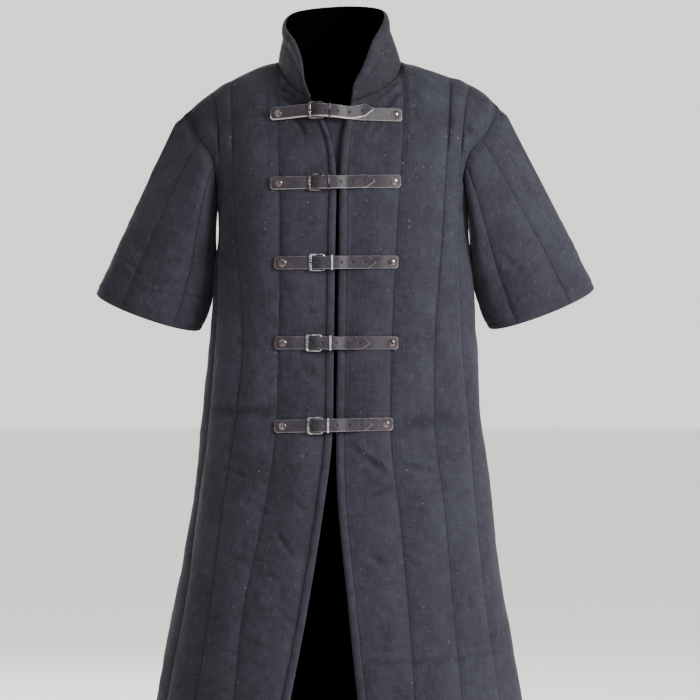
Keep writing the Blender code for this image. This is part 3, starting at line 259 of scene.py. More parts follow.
def neck_through(share):
    """The way through the cloth at the neck seam, for the collar and the body alike."""
    point = neck_point(share)
    towards = (Vector((0.0, NECK_CENTRE_Y, point.z)) - point).normalized()
    turns_from, turns_over = NECK_FRONT
    frontness = ease((-point.y - turns_from) / turns_over)
    flat = blend(towards, Vector((0, 1, 0)), frontness)
    return (flat + Vector((0, 0, -NECK_TILT * (1 - frontness)))).normalized() * NECK_THICKER


def shoulder_point(side, share):
    neck = neck_point(NECK_SHARE if side < 0 else 1 - NECK_SHARE)
    tip = SHOULDER_TIPS[side]
    fall = blend(share ** SHOULDER_ROUNDS[side], share, SHOULDER_STRAIGHT[side])
    return Vector((blend(neck.x, tip.x, share), 0.0, blend(neck.z, tip.z, fall)))


def shoulder_through(side, share):
    step = 0.02
    along = shoulder_point(side, min(1, share + step)) - shoulder_point(side, max(0, share - step))
    return Vector((along.z, 0, -along.x)).normalized() * side


# %% How a column ends at its seam
def seam_stop(side, seam, amount, is_back):
    """Where a column ends: the seam's point, the column's direction there and the way through."""
    beside_neck = 1 - ease(amount / 0.5) if seam == "shoulder" else 1
    beside_tip = ease((amount - FLANK_SHARES[1]) / (1 - FLANK_SHARES[1])) if seam == "shoulder" else 0
    slant = side * (TIP_FLARE * beside_tip - NECK_SLANT * beside_neck)
    beside_slope = -NECK_SLOPE if is_back else NECK_SLOPE
    over = Vector((slant, -1 if is_back else 1, blend(SHOULDER_SLOPE, beside_slope, beside_neck)))
    if seam == "shoulder":
        point = shoulder_point(side, amount) - Vector((0, over.y * SEAM_SHIFT, 0))
        return point, over, shoulder_through(side, amount)
    share = NECK_SHARE * amount if seam == "neck" else blend(0.5, NECK_SHARE, amount)
    share = share if side < 0 else 1 - share
    rise = Vector((EDGE_LEAN[side], *FRONT_RISE)) if seam == "neck" else Vector((0, *NAPE_RISE))
    point = neck_point(share) - Vector((0, 0, NECK_SHIFT))
    return point, blend(rise, over, ease(amount)), neck_through(share)


def rising_curve(lower, stop):
    """A column's curve from the top of the lower body up to its seam, as a function of t."""
    start, step = lower(UPPER_START), 0.01
    top, direction, _ = stop
    reach = top - start
    rise = (start - lower(UPPER_START - step)).normalized() * reach.z * CURVE_PULL
    arrive = Vector((direction.x * reach.z, direction.y * abs(reach.y) * CURVE_PULL, direction.z * reach.z))
    return lambda t: hermite(start, rise, top, arrive, t)


print("shoulder seams:", [round((tip - shoulder_point(side, 0)).length, 3)
                          for side, tip in SHOULDER_TIPS.items()])

# %% [markdown]
# ## Armholes
# A tailor cuts the armhole out of the flat panel. It is made the same way here: the side of the body is
# one smooth surface, and a table says how much of it the cut leaves at each height.

# %% The flank and its armhole
ARMHOLE_START = 0.23          # share of the upper part at which the side seam meets the armhole
ARMHOLE_DEPTH = 0.068
ARMHOLE_CUT = (
    # share of the upper part, how far across the flank the cloth reaches: right front, left front, back
    (ARMHOLE_START, 1.0, 1.0, 1.0),
    (0.26, 0.66, 0.74, 0.74),
    (0.32, 0.38, 0.52, 0.48),
    (0.39, 0.24, 0.38, 0.34),
    (0.47, 0.22, 0.35, 0.31),
    (0.56, 0.30, 0.42, 0.38),
    (0.66, 0.42, 0.52, 0.49),
    (0.78, 0.58, 0.66, 0.64),
    (1.0, 1.0, 1.0, 1.0),
)
ARMHOLE_LINE = (
    # share of the upper part, then x and z along the armhole's edge: of the right one, of the left one
    (ARMHOLE_START, -0.1952, -0.2188, 0.2050, -0.2180),
    (0.26, -0.1951, -0.2123, 0.2010, -0.2068),
    (0.32, -0.1969, -0.1887, 0.1960, -0.1879),
    (0.39, -0.1990, -0.1658, 0.1982, -0.1665),
    (0.47, -0.2058, -0.1467, 0.2050, -0.1475),
    (0.56, -0.2145, -0.1325, 0.2164, -0.1317),
    (0.66, -0.2232, -0.1190, 0.2283, -0.1190),
    (0.78, -0.2325, -0.1039, 0.2388, -0.1031),
    (0.88, -0.2400, -0.0924, 0.2459, -0.0884),
    (1.0, -0.2500, -0.0830, 0.2540, -0.0705),
)
ARMHOLE_END = 0.03            # over this share at both ends the edge goes over into its end points
THIRD_LINE = (
    # share of the upper part, where the third stitch line lies between the second line and the edge
    (0.0, 0.50),
    (ARMHOLE_START, 0.50),
    (0.32, 0.68),
    (0.39, 0.76),
    (0.47, 0.68),
    (0.56, 0.56),
    (0.66, 0.47),
    (0.78, 0.38),
    (1.0, 0.28),
)
FLANK_PART = (0.36, 0.10)     # above this share, and over this one, the two channels part again
ARMHOLE_CENTRE_X = 0.222
UNDERARM_PART = (160, 75)     # degrees from the tip where body and sleeve part, and over how many
PRESSED = 0.15                # share of a channel's rise that is left under the arm
PRESSED_REACH = 0.050         # so near to the underarm it is pressed to that share
PRESSED_FADE = 0.070          # over this further length it swells to the full


# %% Points of the flank
@lru_cache(maxsize=None)
def flank_curve(side, across, is_back):
    """A curve of the upper body; across is 0 at the second stitch line and 1 at the side seam."""
    low = min(1, int(across * 2))
    share = across * 2 - low
    stop = seam_stop(side, "shoulder", blend(*FLANK_SHARES[low:low + 2], share), is_back)
    return rising_curve(lower_curve(side, FLANK_LINE + low, share, is_back), stop)


@lru_cache(maxsize=None)
def armhole_span(side):
    """The heights of the armhole's middle and of half its opening."""
    low = flank_curve(side, 1.0, False)(ARMHOLE_START).z
    high = SHOULDER_TIPS[side].z
    return (high + low) / 2, (high - low) / 2


def armhole_limit(side, t, is_back):
    """How far across the flank a row of the upper part reaches before it meets the armhole."""
    if t < ARMHOLE_START:
        return 1.0
    right_front, left_front, back = read_table(ARMHOLE_CUT, t)
    return back if is_back else left_front if side > 0 else right_front


@lru_cache(maxsize=None)
def armhole_shift(side, t, is_back):
    """How far a row's outer end is drawn across to the armhole's edge."""
    if t < ARMHOLE_START:
        return Vector((0, 0, 0))
    own = flank_curve(side, armhole_limit(side, t, is_back), is_back)(t)
    edge = read_table(ARMHOLE_LINE, t)
    x, z = edge[2:] if side > 0 else edge[:2]
    fade = ease((t - ARMHOLE_START) / ARMHOLE_END) * ease((1 - t) / ARMHOLE_END)
    return Vector((x - own.x, 0, z - own.z)) * fade


def flank_spread(place, third):
    """Spreads even places over the flank so that the one half way comes to the third stitch line."""
    return 2 * place * third if place < 0.5 else blend(third, 1.0, 2 * place - 1)


def flank_point(side, place, t, is_back):
    """A point of the upper flank; place is 0 at the second stitch line and 1 at the flank's edge."""
    place = flank_spread(place, read_table(THIRD_LINE, t)[0])
    point = flank_curve(side, place * armhole_limit(side, t, is_back), is_back)(t)
    return point + armhole_shift(side, t, is_back) * place ** 2


def flank_top(place):
    """The share of the shoulder seam at which a column of the flank ends."""
    place = flank_spread(place, THIRD_LINE[-1][1])
    low = min(1, int(place * 2))
    return blend(*FLANK_SHARES[low:low + 2], place * 2 - low)


def armhole_point(side, t, is_back):
    """The armhole's point at the end of one row of the upper body."""
    point = flank_point(side, 1.0, t, is_back)
    return Vector((point.x, 0, point.z)) if t in (ARMHOLE_START, 1.0) else point


def armhole_through(side, point, is_sleeve):
    """The way through the cloth at the armhole; under the arm body and sleeve part like a V."""
    middle, half_height = armhole_span(side)
    towards = (Vector((side * ARMHOLE_CENTRE_X, 0, middle)) - point).normalized()
    sideways = Vector((side if is_sleeve else -side, 0, 0))
    from_tip = degrees(atan2(abs(point.y) / ARMHOLE_DEPTH, (point.z - middle) / half_height))
    parts_at, parts_over = UNDERARM_PART
    return blend(sideways, towards, ease((parts_at - from_tip) / parts_over)).normalized()


print("armholes, top to bottom:", [round(2 * armhole_span(side)[1], 3) for side in (-1, 1)])

# %% [markdown]
# ## Sewn cloth has two faces
# Every panel is a closed wall: canvas outside, black lining inside, wadding between. It is built as two
# grids of points joined at their rims. Each point also remembers five lengths: how far it lies across
# the panel and along it, how far from a stitch line and from the hem's stitches, and a depth of painted
# shade, set by how far it is sunken, which below zero is painted light. The finishes read them.

# %% A wall from two grids
UNSTITCHED = 10 * MM          # what a point far from all stitching remembers
# the last fact is painted shade on cloth (below zero, painted light on lump crests), and on a strap how bare
# the hide is
Sewing = namedtuple("Sewing", "across along line_gap hem_gap hollow", defaults=(0.0,))


def grid_normals(grid, facing, is_tube):
    """The outward direction at every point of a grid of rows and columns."""
    rows, columns = len(grid), len(grid[0])
    normals = []
    for r in range(rows):
        below, above = grid[max(r - 1, 0)], grid[min(r + 1, rows - 1)]
        line = []
        for c in range(columns):
            before = (c - 1) % columns if is_tube else max(c - 1, 0)
            after = (c + 1) % columns if is_tube else min(c + 1, columns - 1)
            line.append((grid[r][after] - grid[r][before]).cross(above[c] - below[c]).normalized() * facing)
        normals.append(line)
    return normals


# %% Gather the points and close the wall
class Cloth:
    """The outer and inner face of a panel, gathered point by point, with the facts of its sewing."""

    def __init__(self):
        self.outer, self.inner, self.sewing = [], [], []

    def start_row(self):
        for grid in (self.outer, self.inner, self.sewing):
            grid.append([])

    def add(self, faces, sewing):
        for grid, value in zip((self.outer, self.inner, self.sewing), (*faces, sewing)):
            grid[-1].append(value)


def make_piece(name, vertices, faces, finishes, kinds, facts, crisp=None):
    """A piece that rides on the coat; kinds says which finish a face has, crisp from what angle it bends."""
    mesh = bpy.data.meshes.new(name)
    mesh.from_pydata(vertices, [], faces)
    for finish in finishes:
        mesh.materials.append(finish)
    mesh.polygons.foreach_set("material_index", kinds)
    shape = bmesh.new()
    shape.from_mesh(mesh)
    bmesh.ops.recalc_face_normals(shape, faces=shape.faces)
    shape.to_mesh(mesh)
    shape.free()
    mesh.shade_smooth()
    if crisp:
        mesh.set_sharp_from_angle(angle=crisp)
    for label in Sewing._fields:
        values = mesh.attributes.new(label, "FLOAT", "POINT").data
        values.foreach_set("value", [getattr(fact, label) for fact in facts])
    piece = bpy.data.objects.new(name, mesh)
    bpy.context.scene.collection.objects.link(piece)
    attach(piece, "root")
    return piece


def close_wall(name, cloth, finishes, is_tube=False):
    """Joins both faces of a panel at their rims; finishes are those of the outside and of the lining."""
    rows, columns = len(cloth.outer), len(cloth.outer[0])
    size, spans = rows * columns, columns if is_tube else columns - 1
    vertices = [tuple(point) for grid in (cloth.outer, cloth.inner) for line in grid for point in line]
    cells = [(r * columns + c, r * columns + (c + 1) % columns,
              (r + 1) * columns + (c + 1) % columns, (r + 1) * columns + c)
             for r in range(rows - 1) for c in range(spans)]
    rims = [(r * columns + c, r * columns + (c + 1) % columns) for r in (0, rows - 1) for c in range(spans)]
    rims += [] if is_tube else [(r * columns + c, (r + 1) * columns + c)
                                for c in (0, columns - 1) for r in range(rows - 1)]
    faces = cells + [tuple(index + size for index in cell) for cell in cells]
    faces += [(a, b, b + size, a + size) for a, b in rims]
    kinds = [int(len(cells) <= index < 2 * len(cells)) for index in range(len(faces))]
    facts = [fact for _ in range(2) for line in cloth.sewing for fact in line]
    return make_piece(name, vertices, faces, finishes, kinds, facts)


def sewn_piece(name, node, cloth, is_tube=False):
    """Closes a piece of cloth, puts it in place of its plain solid and states its flat cut."""
    piece = close_wall(name, cloth, (slate_canvas, shaded_black_lining), is_tube)
    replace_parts(piece, node)
    half_area = sum(face.area for face in piece.data.polygons) / 2
    print(piece.name, "faces", len(piece.data.polygons), "area", round(half_area, 4))
    return piece


def lengths_along(points):
    """How far each point of a row lies from its first, measured on the cloth."""
    lengths = [0.0]
    for before, after in zip(points, points[1:]):
        lengths.append(lengths[-1] + (after - before).length)
    return lengths


# %% [markdown]
# ## What padded cloth does
# Between two stitch lines the wadding lifts the cloth into a rounded channel. The thread pulls the cloth
# short, so small puckers run away from every line. Wear adds soft troughs where the body bends. The
# puckers and lumps come from smooth noise. The creases are listed one by one, each with its own depth.

# %% Channels, puckers and lumps
WALL = 4 * MM                 # cloth and wadding where a stitch line pulls them flat
QUILT_RISE = 5.5 * MM
ROLL_RISE = 2.5 * MM
SEAM_FADE = 22 * MM           # a channel dies away over this length before a seam or the hem
RELIEF_FADE = 12 * MM         # and lumps, puckers and creases over this one
PUFF_POWER = 0.65
EDGE_ROUND = 2.2 * MM         # a rim rounds over this length
EDGE_LEFT = 0.3               # share of the wall's thickness left at its very edge
RIM_FREE = 2 * MM             # so near to a seam no stitch line shows
TIP_REACH = 9 * MM            # so near to the tip of a shoulder the seams are stuffed full, not rounded
LUMP, FLOW = 1.7 * MM, 0.35   # how far lumps rise, and what share of it slanting ripples do
LUMP_SIZE, SMALL_LUMP_SIZE, FLOW_SIZE = 0.060, 0.026, 0.020
PUCKER = 1.5 * MM
PUCKER_PITCH, PUCKER_LENGTH = 8.5 * MM, 50 * MM
PUCKER_START, PUCKER_REACH = 1.5 * MM, 12 * MM   # it grows over the first, and fades over the second
HEM_STITCH = 11 * MM          # from the folded edge
HEM_GROOVE = 2.5 * MM         # half the width of the groove that these stitches pull
HEM_PULL, CUFF_PULL = 0.7 * MM, 0.8 * MM   # the depth of that groove at the hem and at a cuff


def puff(phase):
    """The rounded height of a channel between two stitch lines, from 0 to 1 and back."""
    return max(0.0, sin(pi * phase)) ** PUFF_POWER


def rumple(point, along, gap, height):
    """Lumps of wadding where the channel is full, and puckers beside its stitch lines."""
    broad = noise.noise(point / LUMP_SIZE) + 0.5 * noise.noise(point / SMALL_LUMP_SIZE)
    flow = Vector((point.x * 0.45, point.y * 0.45, point.z + point.x * 0.3)) / FLOW_SIZE
    pull = noise.noise(Vector((along / PUCKER_PITCH, point.x / PUCKER_LENGTH, point.y / PUCKER_LENGTH)))
    lumps = LUMP * broad * height + FLOW * LUMP * noise.noise(flow) * height
    return lumps + PUCKER * pull * exp(-gap / PUCKER_REACH) * min(1.0, gap / PUCKER_START)


def rounded(outer, inner, distance):
    """Draws both faces together near a free edge or a seam, so that it is rounded."""
    share = min(1.0, max(0.0, distance / EDGE_ROUND))
    share = max(EDGE_LEFT, sqrt(1 - (1 - share) ** 2))
    middle = (outer + inner) / 2
    return middle + (outer - middle) * share, middle + (inner - middle) * share


def stuffed_tip(from_tip):
    """Near the tip of a shoulder the seams are stuffed full, as if no edge were near."""
    return EDGE_ROUND * exp(-(from_tip.length / TIP_REACH) ** 2)


# %% Creases listed one by one
CREASE_GAIN = 2.2             # wear has deepened every crease of the body by this much
CREASE_RIDGE, RIDGE_OFF = 0.6, 2.0   # a ridge on both sides: share of the depth, half widths off it
CREASE_WANDER = 3 * MM
CREASE_PAST, CREASE_FADE = 0.1, 0.35   # shares of its length: past its ends, and over which it fades
FOLD_FADE = 0.25              # the same for a fold, which stops at its ends
CREASE_AT_LINE, CREASE_FREE = 0.4, 10 * MM   # share of a crease at a stitch line, the rest over this
CREASE_SHADE, FOLD_SHADE = 0.5, 0.2   # shares of the depth of a crease and of a fold that are painted as shade
SEAM_SHADE, SEAM_SHADE_REACH = 2.5 * MM, 45 * MM   # painted shade at the seams of the neck and shoulders, and the length over which it fades
Crease = namedtuple("Crease", "from_x from_z to_x to_z depth half_width")


def creases_of(rows):
    """Creases from rows of millimetres: from x and z, to x and z, depth, half width."""
    return [Crease(*(value * MM for value in row)) for row in rows]


FRONT_CREASES = creases_of((
    (-205, -549.5, -100, -557, 1.1, 7),
    (80, -574, 214, -566, 0.8, 7),
    (16, -603, 74, -655, 2.4, 5),
    (92, -636, 152, -648, 1.8, 4.5),
    (42, -773, 73, -796, 1.5, 5),
    (55, -855, 80, -866, 1.3, 4),
    (96, -773, 120, -797, 1.6, 4),
    (-96, -741, -72, -776, 1.6, 4),
    (-112, -806, -90, -818, 1.3, 4),
    (36, -941, 180, -941, 1.1, 5),
    (175, -941, 238, -932, 1.2, 5),
    (198, -104, 206, -117, 1.5, 4),
    (-190, -640, -140, -655, 1.2, 4),
    (-185, -300, -150, -330, 0.8, 8),
    (120, -235, 175, -270, 0.8, 8),
    (-70, -480, -30, -500, 1, 6),
    (-165, -905, -115, -915, 1, 6),
    (-95, -46, -60, -66, 2, 4.5),
    (-90, -66, -46, -78, 1.6, 4),
    (88, -34, 52, -66, 2, 4.5),
    (94, -52, 64, -86, 1.6, 4.5),
    (-68, -95, -52, -126, 1.5, 4),
    (60, -98, 50, -128, 0.9, 4),
    (40, -690, 78, -672, 1.1, 4),
    (98, -700, 142, -716, 1, 4),
    (150, -800, 188, -788, 1.1, 4),
    (154, -868, 180, -878, 0.9, 3),
    (-135, -700, -108, -716, 1.1, 4),
    (-80, -690, -52, -706, 1, 4),
    (-180, -775, -142, -790, 1, 5),
    (-150, -850, -118, -838, 1, 4),
    (-90, -870, -58, -888, 0.9, 4),
    (-208, -880, -180, -872, 1, 4),
    (85, -480, 125, -500, 0.8, 6),
    (-165, -440, -125, -455, 0.8, 6),
))
BACK_CREASES = creases_of((
    (-195, -556, -70, -566, 1.7, 10),
    (60, -572, 205, -560, 1.7, 10),
    (-40, -585, 45, -592, 1.3, 10),
    (-150, -610, -85, -628, 1.8, 7),
    (90, -622, 160, -606, 1.6, 7),
    (-120, -180, -60, -215, 1.6, 9),
    (65, -200, 130, -172, 1.6, 9),
    (-60, -760, -20, -775, 1.3, 6),
    (100, -835, 150, -850, 1.3, 6),
    (-190, -900, -120, -912, 1.2, 6),
))
WAIST_FOLDS = creases_of((
    (-205, -552, -100, -560, 4, 22),
    (82, -578, 210, -566, 4, 22),
))


def beside(point, crease):
    """How far a point lies along a crease, as a share of its length, and how far beside it."""
    run = Vector((crease.to_x - crease.from_x, crease.to_z - crease.from_z))
    offset = Vector((point.x - crease.from_x, point.z - crease.from_z))
    return offset.dot(run) / run.length_squared, (offset.x * run.y - offset.y * run.x) / run.length


def crease_depth(point, creases):
    """How far the creases draw the cloth in; each wanders and has a low ridge on both sides."""
    depth = 0.0
    for crease in creases:
        share, distance = beside(point, crease)
        if not -CREASE_PAST < share < 1 + CREASE_PAST or abs(distance) > 6 * crease.half_width:
            continue
        distance += CREASE_WANDER * noise.noise(Vector((share * 2.2, crease.from_x * 40, crease.from_z * 40)))
        uneven = 0.8 + 0.5 * noise.noise(Vector((share * 3.1, crease.depth * 9000, 1.7)))
        ends = ease((share + CREASE_PAST) / CREASE_FADE) * ease((1 + CREASE_PAST - share) / CREASE_FADE)
        off = abs(distance) / crease.half_width
        across = exp(-off * off) - CREASE_RIDGE * exp(-(off - RIDGE_OFF) ** 2)
        depth += crease.depth * (ends * uneven) * across
    return depth


def fold_depth(point):
    """How far the two largest folds, across the waist, draw the cloth in at a point."""
    depth = 0.0
    for fold in WAIST_FOLDS:
        share, distance = beside(point, fold)
        fade = ease(share / FOLD_FADE) * ease((1 - share) / FOLD_FADE)
        depth += fold.depth * fade * ease(1 - abs(distance) / fold.half_width)
    return depth


print("creases placed:", len(FRONT_CREASES) + len(BACK_CREASES), "folds:", len(WAIST_FOLDS))

# %% [markdown]
# ## Finishes in plain arithmetic
# A finish is a small sum: base colour, less the dust in a groove, plus the light fleck of a seed. The
# node editor can draw such sums, but they read better as ordinary expressions. The class below wraps one
# output of a node, and its operators add the Math nodes.

# %% A value in a finish
WEFT_SHIFT = 5.0              # keeps the streaks along the weft from repeating those along the warp


class Value:
    """One output of a node. Arithmetic on it adds Math nodes to the same finish."""

    def __init__(self, finish, socket):
        self.finish, self.socket = finish, socket

    def math(self, operation, *others, limit=False):
        inputs = dict(enumerate((self, *others)))
        return self.finish.add("ShaderNodeMath", {"operation": operation, "use_clamp": limit}, inputs)

    def __add__(self, other):
        return self.math("ADD", other)

    def __sub__(self, other):
        return self.math("SUBTRACT", other)

    def __mul__(self, other):
        return self.math("MULTIPLY", other)

    def __truediv__(self, other):
        return self.math("DIVIDE", other)

    def __rsub__(self, other):
        return self.finish.add("ShaderNodeMath", {"operation": "SUBTRACT"}, {0: other, 1: self})

    __radd__, __rmul__ = __add__, __mul__

    def below(self, edge, softness):
        """1 where the value is below an edge, 0 where it is above it, with a soft step between."""
        return ((edge - self) / softness + 0.5).math("ADD", 0.0, limit=True)

    def above(self, edge, softness):
        return 1 - self.below(edge, softness)


# %% A finish
class Finish:
    """A material with one Principled shader and the nodes that feed it."""

    def __init__(self, name, fixed):
        self.material = bpy.data.materials.new(name)
        self.material.use_nodes = True
        self.nodes, self.links = self.material.node_tree.nodes, self.material.node_tree.links
        self.shader, self.facts = self.nodes["Principled BSDF"], {}
        for label, value in fixed.items():
            self.shader.inputs[label].default_value = value

    def add(self, kind, settings, inputs, output=0):
        """Adds a node: its settings first, then the values or links of its inputs."""
        node = self.nodes.new(kind)
        for label, value in settings.items():
            setattr(node, label, value)
        for key, value in inputs.items():
            self.connect(node.inputs[key], value)
        return Value(self, node.outputs[output])

    def connect(self, target, value):
        if isinstance(value, Value):
            self.links.new(value.socket, target)
        else:
            target.default_value = value

    def feed(self, label, value):
        self.connect(self.shader.inputs[label], value)

    def mix(self, share, from_colour, to_colour):
        settings = {"data_type": "RGBA", "clamp_factor": True}
        return self.add("ShaderNodeMix", settings, {0: share, 6: from_colour, 7: to_colour}, output=2)

    def fact(self, label):
        """A length that the mesh remembers at every point; one node reads it for the whole finish."""
        if label not in self.facts:
            self.facts[label] = self.add("ShaderNodeAttribute", {"attribute_name": label}, {}, output="Fac")
        return self.facts[label]

    def place(self, x, y, z=0.0):
        return self.add("ShaderNodeCombineXYZ", {}, {0: x, 1: y, 2: z})

    def cloud(self, where, scale, detail=2.0, roughness=0.5):
        return self.add("ShaderNodeTexNoise", {}, {"Vector": where, "Scale": scale, "Detail": detail,
                                                   "Roughness": roughness})

    def yarn(self, fine, drawn_out, shift=0.0, roughness=0.5):
        """Streaks along the warp and along the weft: noise that is fine across each thread."""
        across, along = self.fact("across"), self.fact("along")
        warp = self.place(across * fine, along * drawn_out, shift)
        weft = self.place(across * drawn_out, along * fine, shift + WEFT_SHIFT)
        return self.cloud(warp, 1.0, 2.0, roughness), self.cloud(weft, 1.0, 2.0, roughness)

    def bump(self, height, depth, under=None):
        """Relief of a real depth in metres, on top of another relief."""
        inputs = {"Height": height, "Distance": depth, "Strength": 1.0}
        if under is not None:
            inputs["Normal"] = under
        return self.add("ShaderNodeBump", {}, inputs)


# %% [markdown]
# ## Slate canvas
# The outer cloth is a plain-woven cotton of uneven yarn. Thick places in the yarn, called slubs, show as
# short streaks both ways, and bits of seed husk show as pale flecks. The streaks are noise stretched
# along each thread, laid out by the lengths across and along the cloth, so that they follow the grain
# and bend with the coat. A picture of cloth would repeat and would not follow the panels.

# %% Make the canvas
SLATE_DARK, SLATE_LIGHT = (0.0046, 0.0047, 0.0076, 1), (0.0182, 0.0185, 0.0290, 1)
# the second colour is the dark of the thread with painted shade in the groove of a stitch line
FLECK, GROOVE_SHADE = (0.24, 0.23, 0.21, 1), (0.0045, 0.0045, 0.0065, 1)
STITCH_LENGTH, STITCH_SHARE = 3.6 * MM, 0.68   # from hole to hole, and how much of it shows thread
FLECK_SORTS = (
    # distance between flecks, how rare they are, radius, shift of their field
    (0.013, 0.90, 0.00055, 0.0),
    (0.022, 0.955, 0.0008, 3.0),
)
HOLLOW_SHADE = 8 * MM         # painted shade of this depth makes the canvas fully dark


def make_canvas():
    canvas = Finish("slate_canvas", {"Sheen Weight": 0.05, "Sheen Roughness": 0.45,
                                     "Specular IOR Level": 0.18, "Sheen Tint": (0.70, 0.74, 0.85, 1)})
    across, along = canvas.fact("across"), canvas.fact("along")
    gap, hem, hollow = canvas.fact("line_gap"), canvas.fact("hem_gap"), canvas.fact("hollow")
    body = canvas.add("ShaderNodeTexCoord", {}, {}, output="Object")
    warp, weft = canvas.yarn(900, 45, 0.0, 0.6)
    wide_warp, wide_weft = canvas.yarn(260, 16, 9.0, 0.6)
    heather, fade = canvas.cloud(body, 90, 3.0, 0.6), canvas.cloud(body, 7, 2.0, 0.5)
    blotch = canvas.cloud(body, 26, 3.0, 0.6)
    tone = 0.45
    for cloud, weight in ((warp, 0.8), (weft, 0.8), (wide_warp, 0.22), (wide_weft, 0.22),
                          (heather, 1.1), (fade, 0.7), (blotch, 0.7)):
        tone = tone + (cloud - 0.5) * weight
    # painted shade darkens sunken places and painted light lightens lump crests
    cloth = canvas.mix(tone - hollow / HOLLOW_SHADE, SLATE_DARK, SLATE_LIGHT)
    flecks = []
    for size, rarity, radius, shift in FLECK_SORTS:
        settings = {"voronoi_dimensions": "2D", "feature": "F1"}
        where = {"Vector": canvas.place(across / size + shift, along / size), "Scale": 1.0, "Randomness": 1.0}
        nearest = canvas.add("ShaderNodeTexVoronoi", settings, where, output="Distance")
        chance = canvas.add("ShaderNodeTexVoronoi", settings, where, output="Color")
        chosen = canvas.add("ShaderNodeSeparateColor", {}, {0: chance}, output=0)
        flecks.append(nearest.below(radius / size, 0.3 * radius / size) * chosen.above(rarity, 0.02))
    cloth = canvas.mix(flecks[0].math("MAXIMUM", flecks[1]) * 0.45, cloth, FLECK)
    dashes = [(run / STITCH_LENGTH).math("FRACT").below(STITCH_SHARE, 0.12) * off.below(0.5 * MM, 0.3 * MM)
              for run, off in ((along, gap), (across, hem))]
    stitches = dashes[0].math("MAXIMUM", dashes[1])
    # painted shade darkens the groove along every stitch line and along the hem's stitches
    shaded_groove = gap.math("MINIMUM", hem).below(1.2 * MM, 1.8 * MM)
    cloth = canvas.mix(shaded_groove * 0.65, cloth, GROOVE_SHADE)
    cloth = canvas.mix(stitches * 0.3, cloth, SLATE_LIGHT)
    canvas.feed("Base Color", cloth)
    canvas.feed("Roughness", 0.86 + (heather - 0.5) * 0.2)
    weave = canvas.bump(warp + weft + heather * 2.0, 0.40 * MM)
    rough = canvas.bump(wide_warp * 0.6 + wide_weft * 0.6 + blotch * 4.0, 1.0 * MM, weave)
    sunk = canvas.bump(stitches * 0.6 - shaded_groove, 0.9 * MM, rough)
    canvas.feed("Normal", sunk)
    return canvas.material


slate_canvas = make_canvas()
print("canvas nodes:", len(slate_canvas.node_tree.nodes))


# %% [markdown]
# ## Black lining in painted shade
# Inside, the coat is lined with a thin black cotton. Its colour is made nearly perfect black, without gloss,
# as painted shade of the unlit inside, so a faint weave and a little variation are enough.

# %% Make the lining
# near perfect black: the black cotton darkened into painted shade of the unlit inside
LINING_DARK, LINING_LIGHT = (0.0002, 0.0002, 0.0003, 1), (0.0009, 0.0009, 0.0011, 1)


def make_lining():
    lining = Finish("shaded_black_lining", {"Specular IOR Level": 0.0})
    warp, weft = lining.yarn(1200, 120)
    lining.feed("Base Color", lining.mix((warp + weft) * 0.5, LINING_DARK, LINING_LIGHT))
    lining.feed("Roughness", 0.85 + (warp - 0.5) * 0.2)
    lining.feed("Normal", lining.bump(warp + weft, 0.15 * MM))
    return lining.material


shaded_black_lining = make_lining()
print("lining nodes:", len(shaded_black_lining.node_tree.nodes))

# %% [markdown]
# ## Fronts and back
# Each front is cut in one piece from neck to hem, and so is the back. They are woven here out of upright
# columns, one beside the other across every channel, and the rows lie a few millimetres apart so that
# puckers show. Simulated cloth loses the stitch lines of such coats, so it is drawn.

# %% Columns and rows of a body panel
Channel = namedtuple("Channel", "line columns phase_from phase_to seam seam_from seam_to")
SHOULDER_START = 0.78, 0.2    # where on the neck seam the third channel starts, and its phase at the shoulder


def channels_of(seam, first_phase, first_place):
    """The channels of a front or of half a back, from the middle, and where on a seam each ends."""
    third_place, corner = SHOULDER_START
    second, third, side = FLANK_SHARES
    return [Channel(*row) for row in (
        (0, 8, first_phase, 1.0, seam, 0.0, first_place),
        (1, 16, 0.0, 1.0, seam, first_place, third_place),
        (2, 4, 0.0, corner, seam, third_place, 1.0),
        (2, 14, corner, 1.0, "shoulder", 0.0, second),
        (3, 16, 0.0, 1.0, "shoulder", second, third),
        (4, 16, 0.0, 1.0, "shoulder", third, side),
    )]


FRONT_CHANNELS, BACK_CHANNELS = channels_of("neck", 0.0, 0.10), channels_of("nape", 0.5, 0.30)
ROLL_COLUMNS = FRONT_CHANNELS[0].columns
FLANK_FULL = 0.6              # an armhole that leaves less of the flank than this flattens its channel
FLANK_SKEW, FLANK_JOIN = 1.3, 3.5   # how the joined channel leans, and how soon two channels join
ROW_STEP = 4.5 * MM
RIM_STEPS = (0.0, 0.5 * MM, 1.2 * MM, 2.4 * MM)


def even_steps(start, end, count):
    return [blend(start, end, step / count) for step in range(count)]


LOWER_HEIGHTS = [HEM + step for step in RIM_STEPS] + even_steps(
    HEM + ROW_STEP, UPPER_START, round((UPPER_START - HEM - ROW_STEP) / ROW_STEP)) + [UPPER_START]
UPPER_ROWS = (even_steps(0.0, ARMHOLE_START, 16)[1:] + even_steps(ARMHOLE_START, 0.32, 12)
              + even_steps(0.32, 0.97, 42) + [0.97, 0.985, 0.995, 1.0])
print("rows:", len(LOWER_HEIGHTS) + len(UPPER_ROWS))


def panel_columns(channels):
    columns = []
    for channel in channels:
        last = 1 if channel is channels[-1] else 0
        for step in range(channel.columns + last):
            share = step / channel.columns
            phase = blend(channel.phase_from, channel.phase_to, share)
            columns.append((channel, phase, blend(channel.seam_from, channel.seam_to, share)))
    return columns


# %% One column of cloth
def flank_place(channel, phase):
    """How far a column lies across the flank: 0 at the second stitch line and 1 at the side seam."""
    return (channel.line - FLANK_LINE + phase) / (SIDE_LINE - FLANK_LINE)


